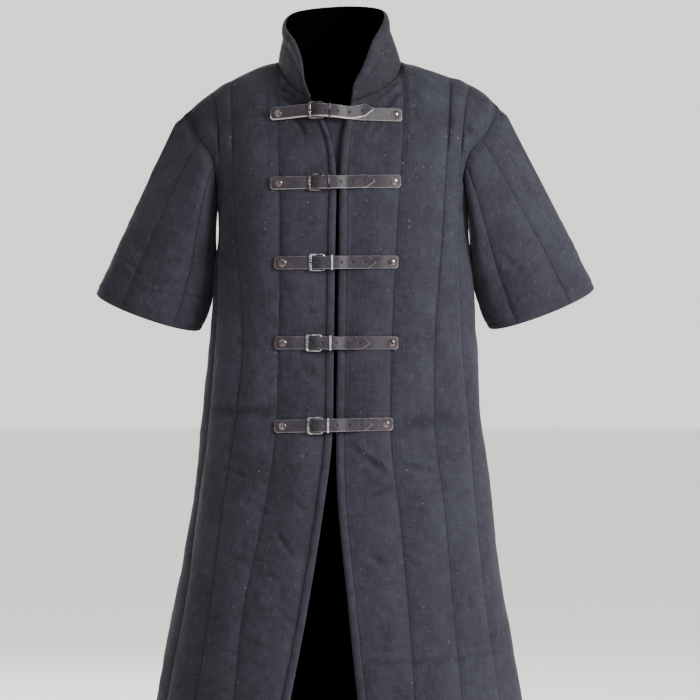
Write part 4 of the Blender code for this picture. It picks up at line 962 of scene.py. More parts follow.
def column_points(side, channel, phase, seam_place, is_back):
    """One column from the hem to its seam, with the way through the cloth at its top."""
    start = 0.5 if is_back and channel.line == 0 else 0.0
    lower = lower_curve(side, channel.line, (phase - start) / (1 - start), is_back)
    points = [lower(height) for height in LOWER_HEIGHTS]
    stop = seam_stop(side, channel.seam, seam_place, is_back)
    if channel.line < FLANK_LINE:
        curve = rising_curve(lower, stop)
        points += [curve(t) for t in UPPER_ROWS]
    else:
        place = flank_place(channel, phase)
        points += [flank_point(side, place, t, is_back) for t in UPPER_ROWS]
        stop = seam_stop(side, "shoulder", flank_top(place), is_back)
    return points, stop[2]


def quilt_height(side, channel, phase, t, is_back):
    """How far a channel's outer face rises; beside the armhole two channels run into one."""
    height = puff(phase)
    if channel.line >= FLANK_LINE and t > 0:
        joined = puff(flank_place(channel, phase) ** FLANK_SKEW)
        narrowed = min(1.0, armhole_limit(side, t, is_back) / FLANK_FULL)
        part_from, part_over = FLANK_PART
        joins = ease(t * FLANK_JOIN) * (1 - ease((t - part_from) / part_over))
        height = blend(height, joined * narrowed, joins)
    return height * (ROLL_RISE if channel.line == 0 and not is_back else QUILT_RISE)


def squeeze(side, point):
    """Below the arm the wadding is pressed flat."""
    away = (point - armhole_point(side, ARMHOLE_START, False)).length
    return blend(PRESSED, 1.0, ease((away - PRESSED_REACH) / PRESSED_FADE))


def side_edge(side, point, t, is_back):
    """Draws a panel's side edge back from its seam and gives the way through the cloth there."""
    back_shift = Vector((0, SEAM_SHIFT if is_back else -SEAM_SHIFT, 0))
    if t < ARMHOLE_START:
        return point + back_shift, Vector((-side, 0, 0))
    seam_point = armhole_point(side, t, is_back)
    through = armhole_through(side, seam_point, False)
    if t in (ARMHOLE_START, 1.0):
        seam_point = seam_point + back_shift
    return seam_point - Vector((side * SEAM_SHIFT, 0, 0)), through


# %% [markdown]
# ## Weaving one panel
# On the real coat the wadding is quilted flat between two cloths, and the swell comes by itself. Here
# every point starts on the stitched surface. The swell of its channel, lumps and puckers push it out,
# and creases and stitches draw it in. A modifier could do that faster, but would open the seams.

# %% Weave one panel
SEAM_TURN = 0.035             # over this length below a seam the wall turns to meet its neighbour
EDGE_TURN = 0.008             # the same beside the armhole


def line_places(columns):
    """The columns on which a stitch line runs, and the side seam; a middle edge has none."""
    return [c for c, (_, channel, phase, _) in enumerate(columns)
            if phase in (0.0, 1.0) and channel.line + phase > 0]


def nearest_line(across_row, lines):
    """For every point of a row, how far it lies from the nearest stitch line."""
    places = [across_row[c] for c in lines]
    gaps = []
    for value in across_row:
        index = bisect_right(places, value)
        around = places[max(0, index - 1):index + 1]
        gaps.append(min(abs(value - place) for place in around))
    return gaps


def quilted_panel(columns, facing, is_back):
    """A body panel from its columns, with its channels raised, puckered and creased."""
    drawn = [column_points(*column, is_back) for column in columns]
    grid = [list(line) for line in zip(*(points for points, _ in drawn))]
    normals = grid_normals(grid, facing, False)
    first_upper, last = len(LOWER_HEIGHTS), len(grid) - 1
    edges = {columns[0][0]: 0, columns[-1][0]: len(columns) - 1}
    alongs = [lengths_along(points) for points, _ in drawn]
    lines = line_places(columns)
    creases = BACK_CREASES if is_back else FRONT_CREASES
    cloth = Cloth()
    for r, line in enumerate(grid):
        t = UPPER_ROWS[r - first_upper] if r >= first_upper else 0.0
        across_row = lengths_along(line)
        middle = across_row[len(across_row) // 2] if is_back else 0.0
        gaps = nearest_line(across_row, lines)
        cloth.start_row()
        for c, point in enumerate(line):
            side, channel, phase, _ = columns[c]
            to_top, to_hem = (grid[last][c] - point).length, point.z - HEM
            to_edge = (line[edges[side]] - point).length
            on_flank = channel.line >= FLANK_LINE
            fade = sqrt(ease(to_top / SEAM_FADE) * ease(to_hem / SEAM_FADE))
            if on_flank and t > ARMHOLE_START:
                fade *= ease(to_edge / SEAM_FADE)
            fade *= squeeze(side, point)
            lift = quilt_height(side, channel, phase, t, is_back) * fade
            trough = 0.0 if is_back else fold_depth(point)
            outwards = normals[r][c]
            inwards = -outwards
            if to_top < SEAM_TURN:
                inwards = blend(drawn[c][1], -outwards, ease(to_top / SEAM_TURN))
            along, gap = alongs[c][r], gaps[c]
            seam_edge = channel.line + phase == SIDE_LINE
            if seam_edge:
                point, inwards = side_edge(side, point, t, is_back)
                outwards, lift, trough = -inwards, 0.0, 0.0
            elif on_flank and t > ARMHOLE_START and to_edge < EDGE_TURN:
                _, edge_in = side_edge(side, point, t, is_back)
                inwards = blend(edge_in, inwards, ease(to_edge / EDGE_TURN))
            seam_fade = 0.0 if seam_edge else ease(min(to_top, to_hem) / RELIEF_FADE)
            relief = rumple(point, along, gap, min(1.0, lift / QUILT_RISE)) * seam_fade
            creased = CREASE_GAIN * crease_depth(point, creases) * seam_fade
            creased *= min(1.0, CREASE_AT_LINE + gap / CREASE_FREE)
            # painted shade in creases, folds, dips between lumps and near the top seams; painted light on lump
            # crests
            hollow = CREASE_SHADE * (creased - relief) + FOLD_SHADE * trough
            hollow += SEAM_SHADE * exp(-to_top / SEAM_SHADE_REACH)
            relief -= creased
            hem_gap = abs(to_hem - HEM_STITCH)
            relief -= HEM_PULL * exp(-(hem_gap / HEM_GROOVE) ** 2)
            face = point + outwards * (lift - trough + relief)
            lining = point + inwards * WALL - outwards * trough
            free = min(to_hem, to_top)
            if seam_edge or to_edge < EDGE_ROUND or c in (0, len(columns) - 1):
                free = min(free, to_edge)
            if not is_back and c < ROLL_COLUMNS:
                free = min(free, across_row[c])
            free = max(free, stuffed_tip(grid[last][edges[side]] - line[c]))
            seen_gap = gap if to_top > RIM_FREE else UNSTITCHED
            sewing = Sewing(across_row[c] - middle, along, seen_gap, hem_gap, hollow)
            cloth.add(rounded(face, lining, free), sewing)
    return cloth


# %% Make the fronts and the back
def front_columns(side):
    return [(side, *column) for column in panel_columns(FRONT_CHANNELS)]


def back_columns():
    half = panel_columns(BACK_CHANNELS)
    return [(-1, *column) for column in reversed(half[1:])] + [(1, *column) for column in half]


front_right = sewn_piece("cloth_front_right", "front_right", quilted_panel(front_columns(-1), -1, False))
front_left = sewn_piece("cloth_front_left", "front_left", quilted_panel(front_columns(1), 1, False))
sewn_piece("cloth_back", "back", quilted_panel(back_columns(), -1, True))

# %% [markdown]
# ## Sleeves
# A half sleeve is a tube set into the armhole and cut wide at the cuff. Its stitch lines run from the
# shoulder to the cuff, and it is made as a ring of columns that share the armhole's own curve, so the
# seam closes all round without any fitting.

# %% Sleeve form
CUFFS = {
    # side: (outer x, outer z, inner x, inner z)
    1: (0.407, -0.359, 0.240, -0.4234),
    -1: (-0.390, -0.368, -0.225, -0.426),
}
CUFF_DEPTH = 0.0625
CUFF_DROOP = 0.012            # the front of the cuff hangs lower than its sides
SLEEVE_CHANNELS = ((0, 60, 20), (60, 120, 20), (120, 180, 24))   # from turn, to turn, strips
KNOT_STRIPS = 8                # columns between two rows of the armhole's table
SLEEVE_RISE = 5 * MM
SLEEVE_LEAVES_TOP = (0.42, -0.80)      # x and z direction at the shoulder tip
SLEEVE_LEAVES_UNDER = (0.30, -1.0)     # the same under the arm
SLEEVE_ARRIVES = (0.40, -0.90)         # the same at the cuff
SLEEVE_CAP = 7 * MM                    # how far the head of the sleeve stands out at once
SLEEVE_CAP_WAY = (0.89, 0.46)          # which way it does
SLEEVE_CAP_STEP = 0.07                 # share of the sleeve's length over which it comes
SLEEVE_CAP_FALL = 1.45                 # how fast it goes again towards the cuff
SLEEVE_SPREAD = 0.42                   # how far it widens in depth as it leaves the armhole
SLEEVE_TURN = 0.7                      # how soon going round the armhole the top direction takes over
SLEEVE_SAG = 8 * MM                    # the loose under side hangs this much nearer to the body
SAG_START, SAG_MIDDLE, SAG_REACH = 0.15, 0.52, 0.36   # in shares of the sleeve's length
SLEEVE_ROWS = ([0.0, 0.003, 0.008, 0.018] + even_steps(0.03, 0.985, 56) + [0.985, 0.993, 0.997, 1.0])
SLEEVE_CREASES = creases_of((
    (262, -150, 300, -205, 1.6, 7),
    (250, -300, 285, -335, 1.4, 6),
    (274, -318, 292, -352, 1.6, 5),
    (330, -290, 365, -315, 1.2, 6),
    (-300, -190, -262, -160, 1.6, 7),
    (-275, -330, -240, -300, 1.4, 6),
    (-345, -270, -310, -300, 1.2, 6),
    (-321, -357, -292, -365, 2.2, 3.5),
    (-292, -365, -204, -374, 2.2, 3.5),
    (-337, -315, -314, -341, 2, 3.5),
    (290, -324, 272, -347, 2, 3.5),
    (-300, -240, -262, -262, 0.9, 5),
    (310, -235, 345, -262, 0.9, 5),
))


def cuff_point(side, turn):
    """A point of the cuff; turn is 0 at its outer end, 90 in front and 180 at its inner end."""
    outer_x, outer_z, inner_x, inner_z = CUFFS[side]
    outer, inner = Vector((outer_x, 0, outer_z)), Vector((inner_x, 0, inner_z))
    angle = radians(turn)
    return (outer + inner) / 2 + (outer - inner) / 2 * cos(angle) + Vector(
        (0, -CUFF_DEPTH, -CUFF_DROOP)) * sin(angle)


def armhole_ring(side):
    """The armhole from the shoulder tip round the front, under the arm and up the back."""
    knots = [row[0] for row in ARMHOLE_CUT]
    rows = [t for low, high in zip(knots, knots[1:]) for t in even_steps(low, high, KNOT_STRIPS)] + [1.0]
    front = [armhole_point(side, t, False) for t in reversed(rows)]
    return front + [armhole_point(side, t, True) for t in rows][1:-1]


def sleeve_columns():
    """The turn round the cuff and the phase across its channel of every column of a sleeve."""
    half = [(blend(start, end, step / count), step / count)
            for start, end, count in SLEEVE_CHANNELS for step in range(count)]
    return half + [(180, 0.0)] + [(360 - turn, phase) for turn, phase in reversed(half[1:])]


def sleeve_cap(t):
    """How far the top of a sleeve stands out at a share of its length."""
    comes, goes = ease(t / SLEEVE_CAP_STEP), ease((1 - t) / (2 * SLEEVE_CAP_STEP))
    return SLEEVE_CAP * (1 - SLEEVE_CAP_FALL * t) * comes * goes


def sleeve_curve(side, top, turn):
    """The stitched surface from a point of the armhole to the cuff, as a function of t."""
    middle, half_height = armhole_span(side)
    start, end = top + Vector((side * SEAM_SHIFT, 0, 0)), cuff_point(side, turn)
    length = (end - start).length
    topness = ease(((top.z - middle) / half_height + 1) * SLEEVE_TURN)
    leave_x = blend(SLEEVE_LEAVES_UNDER[0], SLEEVE_LEAVES_TOP[0], topness)
    leave_z = blend(SLEEVE_LEAVES_UNDER[1], SLEEVE_LEAVES_TOP[1], topness)
    leave = Vector((side * leave_x, SLEEVE_SPREAD * top.y / ARMHOLE_DEPTH, leave_z)) * length
    arrive = Vector((side * SLEEVE_ARRIVES[0], 0, SLEEVE_ARRIVES[1])) * length
    lift = Vector((side * SLEEVE_CAP_WAY[0], 0, SLEEVE_CAP_WAY[1])) * max(0, cos(radians(turn)))
    sag = Vector((-side * SLEEVE_SAG, 0, 0)) * max(0, -cos(radians(turn))) ** 2
    return lambda t: (hermite(start, leave, end, arrive, t) + lift * sleeve_cap(t)
                      + sag * ease(t / SAG_START) * exp(-((t - SAG_MIDDLE) / SAG_REACH) ** 2))


print("columns round a sleeve:", len(sleeve_columns()))


# %% Make the sleeves
def quilted_sleeve(side):
    """A tube of columns round the armhole, with its channels raised, puckered and creased."""
    ring, columns = armhole_ring(side), sleeve_columns()
    curves = [sleeve_curve(side, top, turn) for top, (turn, _) in zip(ring, columns)]
    grid = [[curve(t) for curve in curves] for t in SLEEVE_ROWS]
    normals = grid_normals(grid, side, True)
    alongs = [lengths_along(points) for points in zip(*grid)]
    lines = [c for c, (_, phase) in enumerate(columns) if phase == 0.0]
    cloth = Cloth()
    for r, line in enumerate(grid):
        across_row = lengths_along(line + line[:1])
        gaps = nearest_line(across_row, lines + [len(columns)])
        cloth.start_row()
        for c, point in enumerate(line):
            phase = columns[c][1]
            to_top, to_cuff = (point - grid[0][c]).length, (grid[-1][c] - point).length
            fade = sqrt(ease(to_top / SEAM_FADE) * ease(to_cuff / SEAM_FADE))
            lift = SLEEVE_RISE * puff(phase) * fade * squeeze(side, point)
            seam_fade = ease(min(to_top, to_cuff) / RELIEF_FADE)
            relief = rumple(point, alongs[c][r], gaps[c], min(1.0, lift / QUILT_RISE)) * seam_fade
            creased = crease_depth(point, SLEEVE_CREASES) * seam_fade
            # painted shade in creases and dips between lumps; painted light on lump crests
            hollow = CREASE_SHADE * (creased - relief)
            relief -= creased
            hem_gap = abs(to_cuff - HEM_STITCH)
            relief -= CUFF_PULL * exp(-(hem_gap / HEM_GROOVE) ** 2)
            outwards = normals[r][c]
            through = blend(armhole_through(side, ring[c], True), -outwards, ease(to_top / EDGE_TURN))
            free = max(min(to_top, to_cuff), stuffed_tip(grid[0][0] - point))
            seen_gap = gaps[c] if to_top > RIM_FREE else UNSTITCHED
            faces = rounded(point + outwards * (lift + relief), point + through * WALL, free)
            cloth.add(faces, Sewing(across_row[c], alongs[c][r], seen_gap, hem_gap, hollow))
    return cloth


for name, side in (("sleeve_right", -1), ("sleeve_left", 1)):
    sewn_piece("cloth_" + name, name, quilted_sleeve(side), is_tube=True)

# %% [markdown]
# ## Collar and underlap
# The collar stands on the neck seam and leans open in front. Its upper third is a stiff padded rim above
# a line of stitching. Behind the two front edges a narrow strip of cloth fills the gap at the throat.

# %% Make the collar
COLLAR_TOP = (
    # share round from the wearer's right front, x, y, z
    (0.00, -0.058, -0.108, -0.034),
    (0.12, -0.063, -0.085, 0.000),
    (0.24, -0.075, -0.045, 0.033),
    (0.34, -0.091, 0.002, 0.062),
    (0.42, -0.074, 0.050, 0.088),
    (0.50, 0.000, 0.082, 0.100),
    (0.58, 0.063, 0.050, 0.094),
    (0.66, 0.0745, 0.002, 0.074),
    (0.77, 0.055, -0.045, 0.033),
    (0.88, 0.040, -0.080, -0.006),
    (1.00, 0.022, -0.108, -0.041),
)
COLLAR_WALL = 7 * MM
COLLAR_RISE = 3.0 * MM
COLLAR_RIM = 0.66             # share of the height at which the padded rim starts
COLLAR_BELLY = (
    # share round, how far the collar curves out half way up: inwards at the sides
    (0.0, 2 * MM),
    (0.34, -3.2 * MM),
    (0.5, 3 * MM),
    (0.66, -3.4 * MM),
    (1.0, 2 * MM),
)
COLLAR_CENTRE_Y = -0.03
COLLAR_END = 0.10             # share of the neck seam over which the padding thins towards each end
COLLAR_ROUND = 3.4 * MM       # its top edge rounds over this length
COLLAR_TURN = 0.14            # share of its height over which the wall turns away from the seam's
COLLAR_FADE = 10 * MM         # lumps die away over this length at its foot and at its top edge
FOOT_SHADE, FOOT_REACH = 1.4 * MM, 10 * MM   # painted shade at the foot of the collar by the neck seam
LINE_SHADE, LINE_REACH = 1.0 * MM, 4 * MM    # and beside the stitching under the rim
GATHER, GATHER_PITCH, GATHER_REACH = 0.5 * MM, 11 * MM, 12 * MM   # how the neck seam gathers the cloth
COLLAR_ROWS = even_steps(0.0, 0.96, 26) + [0.96, 0.98, 0.99, 0.996, 1.0]
COLLAR_PLACES = [0.0, 0.003, 0.007, 0.012] + even_steps(0.018, 0.982, 92) + [0.982, 0.988, 0.993, 0.997, 1.0]


def collar_point(share, t):
    """A point of the collar; t is 0 at the neck seam and 1 at the top edge."""
    foot = neck_point(share) + Vector((0, 0, NECK_SHIFT))
    top = Vector(read_table(COLLAR_TOP, share))
    outwards = Vector((foot.x, foot.y - NECK_CENTRE_Y, 0)).normalized()
    belly = read_table(COLLAR_BELLY, share)[0]
    return blend(foot, top, t) + outwards * belly * sin(pi * t)


def collar_outwards(share):
    """The way out of the collar, square to its line from foot to top edge."""
    foot, top = collar_point(share, 0), collar_point(share, 1)
    up, away = (top - foot).normalized(), (foot + top) / 2 - Vector((0, COLLAR_CENTRE_Y, 0))
    away.z = 0
    return (away - up * away.dot(up)).normalized()


def padded_collar():
    """A band from the neck seam to a padded rim, thinner towards its two ends."""
    grid = [[collar_point(share, t) for share in COLLAR_PLACES] for t in COLLAR_ROWS]
    alongs = [lengths_along(points) for points in zip(*grid)]
    cloth = Cloth()
    for r, t in enumerate(COLLAR_ROWS):
        in_rim = t >= COLLAR_RIM
        height = puff((t - COLLAR_RIM) / (1 - COLLAR_RIM)) if in_rim else puff(t / COLLAR_RIM)
        across_row = lengths_along(grid[r])
        cloth.start_row()
        for c, share in enumerate(COLLAR_PLACES):
            point, outwards = grid[r][c], collar_outwards(share)
            along, full = alongs[c][r], alongs[c][-1]
            end_fade = ease(min(share, 1 - share) / COLLAR_END)
            through = blend(neck_through(share), -outwards, ease(t / COLLAR_TURN))
            gap = abs(along - COLLAR_RIM * full)
            # painted shade: a little over the whole collar, more at its foot and beside the stitching under
            # the rim
            hollow = SEAM_SHADE + FOOT_SHADE * exp(-along / FOOT_REACH) + LINE_SHADE * exp(-gap / LINE_REACH)
            relief = rumple(point, across_row[c], gap, 0.5 * height)
            relief *= ease(min(along, full - along) / COLLAR_FADE)
            gathers = noise.noise(Vector((across_row[c] / GATHER_PITCH, 3.3, 0)))
            relief += GATHER * gathers * exp(-along / GATHER_REACH)
            face = point + outwards * (COLLAR_RISE * height * end_fade + relief)
            lining = point + through * COLLAR_WALL
            to_end = min(across_row[c], across_row[-1] - across_row[c])
            free = min(along / 2, full - along, to_end) * EDGE_ROUND / COLLAR_ROUND
            sewing = Sewing(along, across_row[c], UNSTITCHED, UNSTITCHED, hollow)
            cloth.add(rounded(face, lining, free), sewing)
    return cloth


sewn_piece("cloth_collar", "collar", padded_collar())

# %% [markdown]
# ## The strip behind the throat
# A narrow flat strip is sewn behind the front edges, so that no shirt shows between them. It could be
# bent by hand. Here its points are felt on the plain solid, which already fits behind both fronts.

# %% Make the underlap
UNDERLAP_WALL = 3 * MM
UNDERLAP_INSET = 0.3 * MM     # its face lies this far behind the plain solid's
UNDERLAP_STRIPS, UNDERLAP_ROWS = 12, 30
UNDERLAP = (
    # height, right x, left x
    (-0.200, -0.016, 0.014),
    (-0.170, -0.020, 0.014),
    (-0.140, -0.026, 0.015),
    (-0.110, -0.033, 0.015),
    (-0.080, -0.040, 0.016),
)
FAR_FRONT = 0.4               # in front of everything, where surfaces are felt from


def surface_tree(mesh):
    return BVHTree.FromPolygons([vertex.co for vertex in mesh.vertices],
                                [polygon.vertices for polygon in mesh.polygons])


def underlap_strip():
    """Laid on the plain solid's front face, which fits closely behind both fronts."""
    tree = surface_tree(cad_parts["front_underlap"].data)
    low, high = UNDERLAP[0][0], UNDERLAP[-1][0]
    heights = even_steps(low, high, UNDERLAP_ROWS) + [high]
    cloth = Cloth()
    for height in heights:
        right_x, left_x = read_table(UNDERLAP, height)
        line = []
        for x in even_steps(right_x, left_x, UNDERLAP_STRIPS) + [left_x]:
            start = Vector((x, -FAR_FRONT, height))
            hit = tree.ray_cast(start, Vector((0, 1, 0)))[0]
            start.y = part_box("front_underlap")[0].y
            line.append(hit or tree.find_nearest(start)[0])
        across_row = lengths_along(line)
        cloth.start_row()
        for c, point in enumerate(line):
            free = min(across_row[c], across_row[-1] - across_row[c])
            relief = 0.25 * MM * noise.noise(point / 0.012)
            faces = (point + Vector((0, UNDERLAP_INSET + relief, 0)), point + Vector((0, UNDERLAP_WALL, 0)))
            sewing = Sewing(across_row[c], height - low, UNSTITCHED, UNSTITCHED)
            cloth.add(rounded(*faces, free), sewing)
    return cloth


sewn_piece("cloth_underlap", "front_underlap", underlap_strip())

# %% [markdown]
# ## Leather
# The five closures are strips of waxed, dyed leather. The dye stays on the surface, so every cut edge
# shows the pale hide. Grain is a field of small cells with soft walls, and handling leaves faint
# scratches along the strip. Each prong hole is a near-black disc, painted shade of the hole and the
# cloth under it, and its rim is dark and sunken.

# %% Make the leather finishes
DYED_DARK, DYED_LIGHT = (0.0070, 0.0058, 0.0086, 1), (0.0280, 0.0235, 0.0310, 1)
HIDE_DARK, HIDE_LIGHT = (0.075, 0.062, 0.064, 1), (0.26, 0.225, 0.230, 1)
RIM_DARK, HOLE_SHADE = (0.016, 0.014, 0.014, 1), (0.004, 0.004, 0.004, 1)
HOLE_RADIUS = 1.9 * MM


def make_leather():
    leather = Finish("waxed_leather", {"Specular IOR Level": 0.22})
    body = leather.add("ShaderNodeTexCoord", {}, {}, output="Object")
    across, hole = leather.fact("across"), leather.fact("line_gap")   # on a strap: from a prong hole
    along, cut = leather.fact("along"), leather.fact("hem_gap")       # and from a cut edge
    cells = leather.add("ShaderNodeTexVoronoi", {"feature": "DISTANCE_TO_EDGE"},
                        {"Vector": body, "Scale": 900.0}, output="Distance")
    cloudy, fine = leather.cloud(body, 60, 3.0, 0.6), leather.cloud(body, 420, 2.0, 0.6)
    scratch = leather.cloud(leather.place(along * 60, across * 1500), 1.0, 2.0, 0.7)
    worn = scratch.above(0.60, 0.12) * 0.35
    tone = leather.mix(0.35 + (cloudy - 0.5) * 1.1 + (fine - 0.5) * 0.4 + worn, DYED_DARK, DYED_LIGHT)
    rubbed = leather.cloud(body, 150, 3.0, 0.7).above(0.52, 0.30) * 0.34 + across.below(0.0, 1 * MM) * 0.12
    bare = leather.fact("hollow")     # on a strap: how bare the hide is
    tone = leather.mix(cut.below(0.70 * MM, 0.8 * MM) * (rubbed + bare * 0.9 + 0.04), tone, HIDE_LIGHT)
    # painted shade: a near-black disc stands for each prong hole
    shaded_hole = hole.below(HOLE_RADIUS, 0.5 * MM)
    rim = hole.below(HOLE_RADIUS + 1 * MM, 1.0 * MM)
    tone = leather.mix(shaded_hole, leather.mix(rim * 0.45, tone, RIM_DARK), HOLE_SHADE)
    leather.feed("Base Color", tone)
    leather.feed("Roughness", 0.44 + (cloudy - 0.5) * 0.30 + worn * 0.3 + shaded_hole * 0.3)
    grain = leather.bump(cells, 0.25 * MM)
    leather.feed("Normal", leather.bump(rim * -1.0 + scratch * 0.1, 0.6 * MM, grain))
    return leather.material


def make_hide():
    hide = Finish("raw_leather_edge", {"Specular IOR Level": 0.3})
    body = hide.add("ShaderNodeTexCoord", {}, {}, output="Object")
    fibres = hide.cloud(body, 700, 3.0, 0.6)
    stained = hide.cloud(body, 70, 2.0, 0.5)
    hide.feed("Base Color", hide.mix(fibres * 0.6 + stained * 0.5, HIDE_DARK, HIDE_LIGHT))
    hide.feed("Roughness", 0.7 + (fibres - 0.5) * 0.3)
    hide.feed("Normal", hide.bump(fibres, 0.3 * MM))
    return hide.material


waxed_leather, raw_edge = make_leather(), make_hide()
print("leather nodes:", len(waxed_leather.node_tree.nodes))


# %% [markdown]
# ## Metal
# The buckles are steel wire with a darkened nickel coat that is rubbed bright on its high places. The
# rivets are copper, browned by a bath of liver of sulphur and polished again on their domes by wear.

# %% Make the metal finishes
def make_metal(name, dark, bright, roughness, rub):
    metal = Finish(name, {"Metallic": 1.0})
    body = metal.add("ShaderNodeTexCoord", {}, {}, output="Object")
    stain, fine = metal.cloud(body, 120, 2.0, 0.5), metal.cloud(body, 900, 2.0, 0.5)
    rubbed = stain.above(1 - rub, 0.35)
    metal.feed("Base Color", metal.mix(rubbed + (fine - 0.5) * 0.3, dark, bright))
    metal.feed("Roughness", roughness - rubbed * 0.08 + (fine - 0.5) * 0.15)
    metal.feed("Normal", metal.bump(fine + stain, 0.03 * MM))
    return metal.material


darkened_nickel = make_metal("darkened_nickel", (0.030, 0.030, 0.037, 1), (0.36, 0.36, 0.40, 1), 0.22, 0.52)
bright_nickel = make_metal("bright_nickel", (0.18, 0.18, 0.20, 1), (0.52, 0.51, 0.56, 1), 0.26, 0.62)
tarnished_nickel = make_metal("tarnished_nickel", (0.030, 0.026, 0.028, 1), (0.19, 0.17, 0.18, 1), 0.30, 0.45)
blackened_steel = make_metal("blackened_steel", (0.015, 0.015, 0.018, 1), (0.09, 0.09, 0.10, 1), 0.34, 0.45)
antique_copper = make_metal("antique_copper", (0.024, 0.018, 0.018, 1), (0.16, 0.13, 0.125, 1), 0.24, 0.50)
print("metal nodes:", len(darkened_nickel.node_tree.nodes))

# %% [markdown]
# ## How a strap lies
# A strap that is drawn tight does not follow the quilting. It bridges from crest to crest. So the cloth
# under it is felt with rays, and the strap's line is the tight outer line round what was felt, exactly
# as a cord would lie if it were pulled across the coat.

# %% A taut line over the padding
LEATHER = 2 * MM
STRAP_WIDTH = 20 * MM
CLEAR = 0.3 * MM
FELT_BAND = STRAP_WIDTH * 0.6
FELT_ROWS = 9
BOW_REACH = 0.075             # a strap rises towards its buckle over this length on both sides
Strap = namedtuple("Strap", "right_x left_x right_z left_z buckle_x keeper tip_x bow tip_lift curl bare")
STRAPS = [Strap(*row) for row in (
    (-0.108, 0.097, -0.0875, -0.0895, -0.036, 9.4 * MM, 0.050, 5 * MM, 4 * MM, 7 * MM, 1.0),
    (-0.1075, 0.095, -0.198, -0.195, -0.037, 9.8 * MM, 0.054, 0.0, 1 * MM, 1 * MM, 0.3),
    (-0.101, 0.091, -0.3225, -0.321, -0.035, 12.6 * MM, 0.056, 0.0, 0.0, 0.0, 0.1),
    (-0.101, 0.091, -0.447, -0.447, -0.040, 15.2 * MM, 0.047, 0.0, 0.0, 0.0, 0.1),
    (-0.101, 0.0825, -0.577, -0.573, -0.038, 9.4 * MM, 0.050, 0.0, 0.0, 0.0, 0.2),
)]
FRONT_TREES = [surface_tree(piece.data) for piece in (front_right, front_left)]
FRONT_POINTS = [vertex.co.copy() for piece in (front_right, front_left) for vertex in piece.data.vertices
                if vertex.co.y < -0.05 and abs(vertex.co.x) < 0.13]


# %% Draw the line tight
class TautLine:
    """The line that a strap takes when it is drawn tight over the padding from one front to the other."""

    def __init__(self, strap):
        self.strap = strap
        step, margin = 1 * MM, 6 * MM
        from_x, to_x = strap.right_x - margin, strap.left_x + margin
        touched = []
        for index in range(int((to_x - from_x) / step) + 1):
            x = from_x + index * step
            for row in range(FELT_ROWS):
                z = self.height(x) + FELT_BAND * (2 * row / (FELT_ROWS - 1) - 1)
                touched += [(x, -hit.y) for hit in self.feel(x, z)]
        for point in FRONT_POINTS:
            if from_x <= point.x <= to_x and abs(point.z - self.height(point.x)) < FELT_BAND:
                touched.append((point.x, -point.y))
        self.hull = self.tighten(sorted((x, forward + 0.2 * MM) for x, forward in touched))
        self.hull = self.tighten(sorted(self.hull + self.under_buckle()))

    def under_buckle(self):
        """Two points, just past the buckle's ends, that keep the line straight beneath it."""
        reach = BUCKLE_LENGTH / 2 + 3 * MM
        start, end = self.strap.buckle_x - reach, self.strap.buckle_x + reach
        low, high = self.forward(start), self.forward(end)
        bulges = [y - blend(low, high, (x - start) / (end - start)) for x, y in self.hull if start < x < end]
        rise = max(bulges + [0])
        return [(start, low + rise), (end, high + rise)]

    @staticmethod
    def feel(x, z):
        start = Vector((x, -FAR_FRONT, z))
        hits = [tree.ray_cast(start, Vector((0, 1, 0))) for tree in FRONT_TREES]
        return [hit[0] for hit in hits if hit[0] is not None and hit[0].y < 0]

    @staticmethod
    def tighten(points):
        hull = []
        for x, y in points:
            while len(hull) > 1:
                (x0, y0), (x1, y1) = hull[-2:]
                if (x1 - x0) * (y - y0) < (y1 - y0) * (x - x0):
                    break
                hull.pop()
            hull.append((x, y))
        return hull

    def height(self, x):
        strap = self.strap
        share = (x - strap.right_x) / (strap.left_x - strap.right_x)
        near_buckle = ease(1 - abs(x - strap.buckle_x) / BOW_REACH)
        return blend(strap.right_z, strap.left_z, share) + strap.bow * near_buckle

    def forward(self, x):
        for (x0, y0), (x1, y1) in zip(self.hull, self.hull[1:]):
            if x <= x1:
                break
        return blend(y0, y1, (x - x0) / (x1 - x0))

    def normal(self, x):
        step = 4 * MM
        slope = (self.forward(x + step) - self.forward(x - step)) / (2 * step)
        return Vector((-slope, -1, 0)).normalized()

    def spot(self, x, lift):
        """The point at x that stands a height off the line."""
        return Vector((x, -self.forward(x), self.height(x))) + self.normal(x) * lift


# %% [markdown]
# ## A strip with cut edges
# A strap is cut from a hide two millimetres thick. A cross section is swept along its middle line, and
# the two facets at its sides get the finish of bare hide. A plain extruded curve could not narrow to
# the tip, nor tell the finish how far each prong hole is.

# %% Sweep a strip of leather
STRIP_PROFILE = (
    # share of the half width, share of the half thickness, 1 where the cut edge starts
    (-1.0, -0.6, 1), (-1.0, 0.6, 0), (-0.955, 1.0, 0), (-0.6, 1.04, 0), (0.0, 1.06, 0), (0.6, 1.04, 0),
    (0.955, 1.0, 0), (1.0, 0.6, 1), (1.0, -0.6, 0), (0.955, -1.0, 0), (0.0, -1.0, 0), (-0.955, -1.0, 0),
)


def swept(name, rings, finishes, is_loop=False, edge_starts=(), facts=None):
    """Joins rings of points into one closed piece; the last finish is that of its cut edges and ends."""
    size = len(rings[0])
    vertices = [tuple(point) for ring in rings for point in ring]
    faces, kinds = [], []
    for r in range(len(rings) if is_loop else len(rings) - 1):
        here, there = r * size, (r + 1) % len(rings) * size
        for k in range(size):
            follow = (k + 1) % size
            faces.append((here + k, here + follow, there + follow, there + k))
            kinds.append(int(k in edge_starts))
    if not is_loop:
        faces += [tuple(range(size)), tuple(range(len(vertices) - size, len(vertices)))]
        kinds += [len(finishes) - 1] * 2
    facts = facts or [Sewing(0, 0, UNSTITCHED, UNSTITCHED)] * len(vertices)
    piece = make_piece(name, vertices, faces, finishes, kinds, facts, radians(40))
    return piece


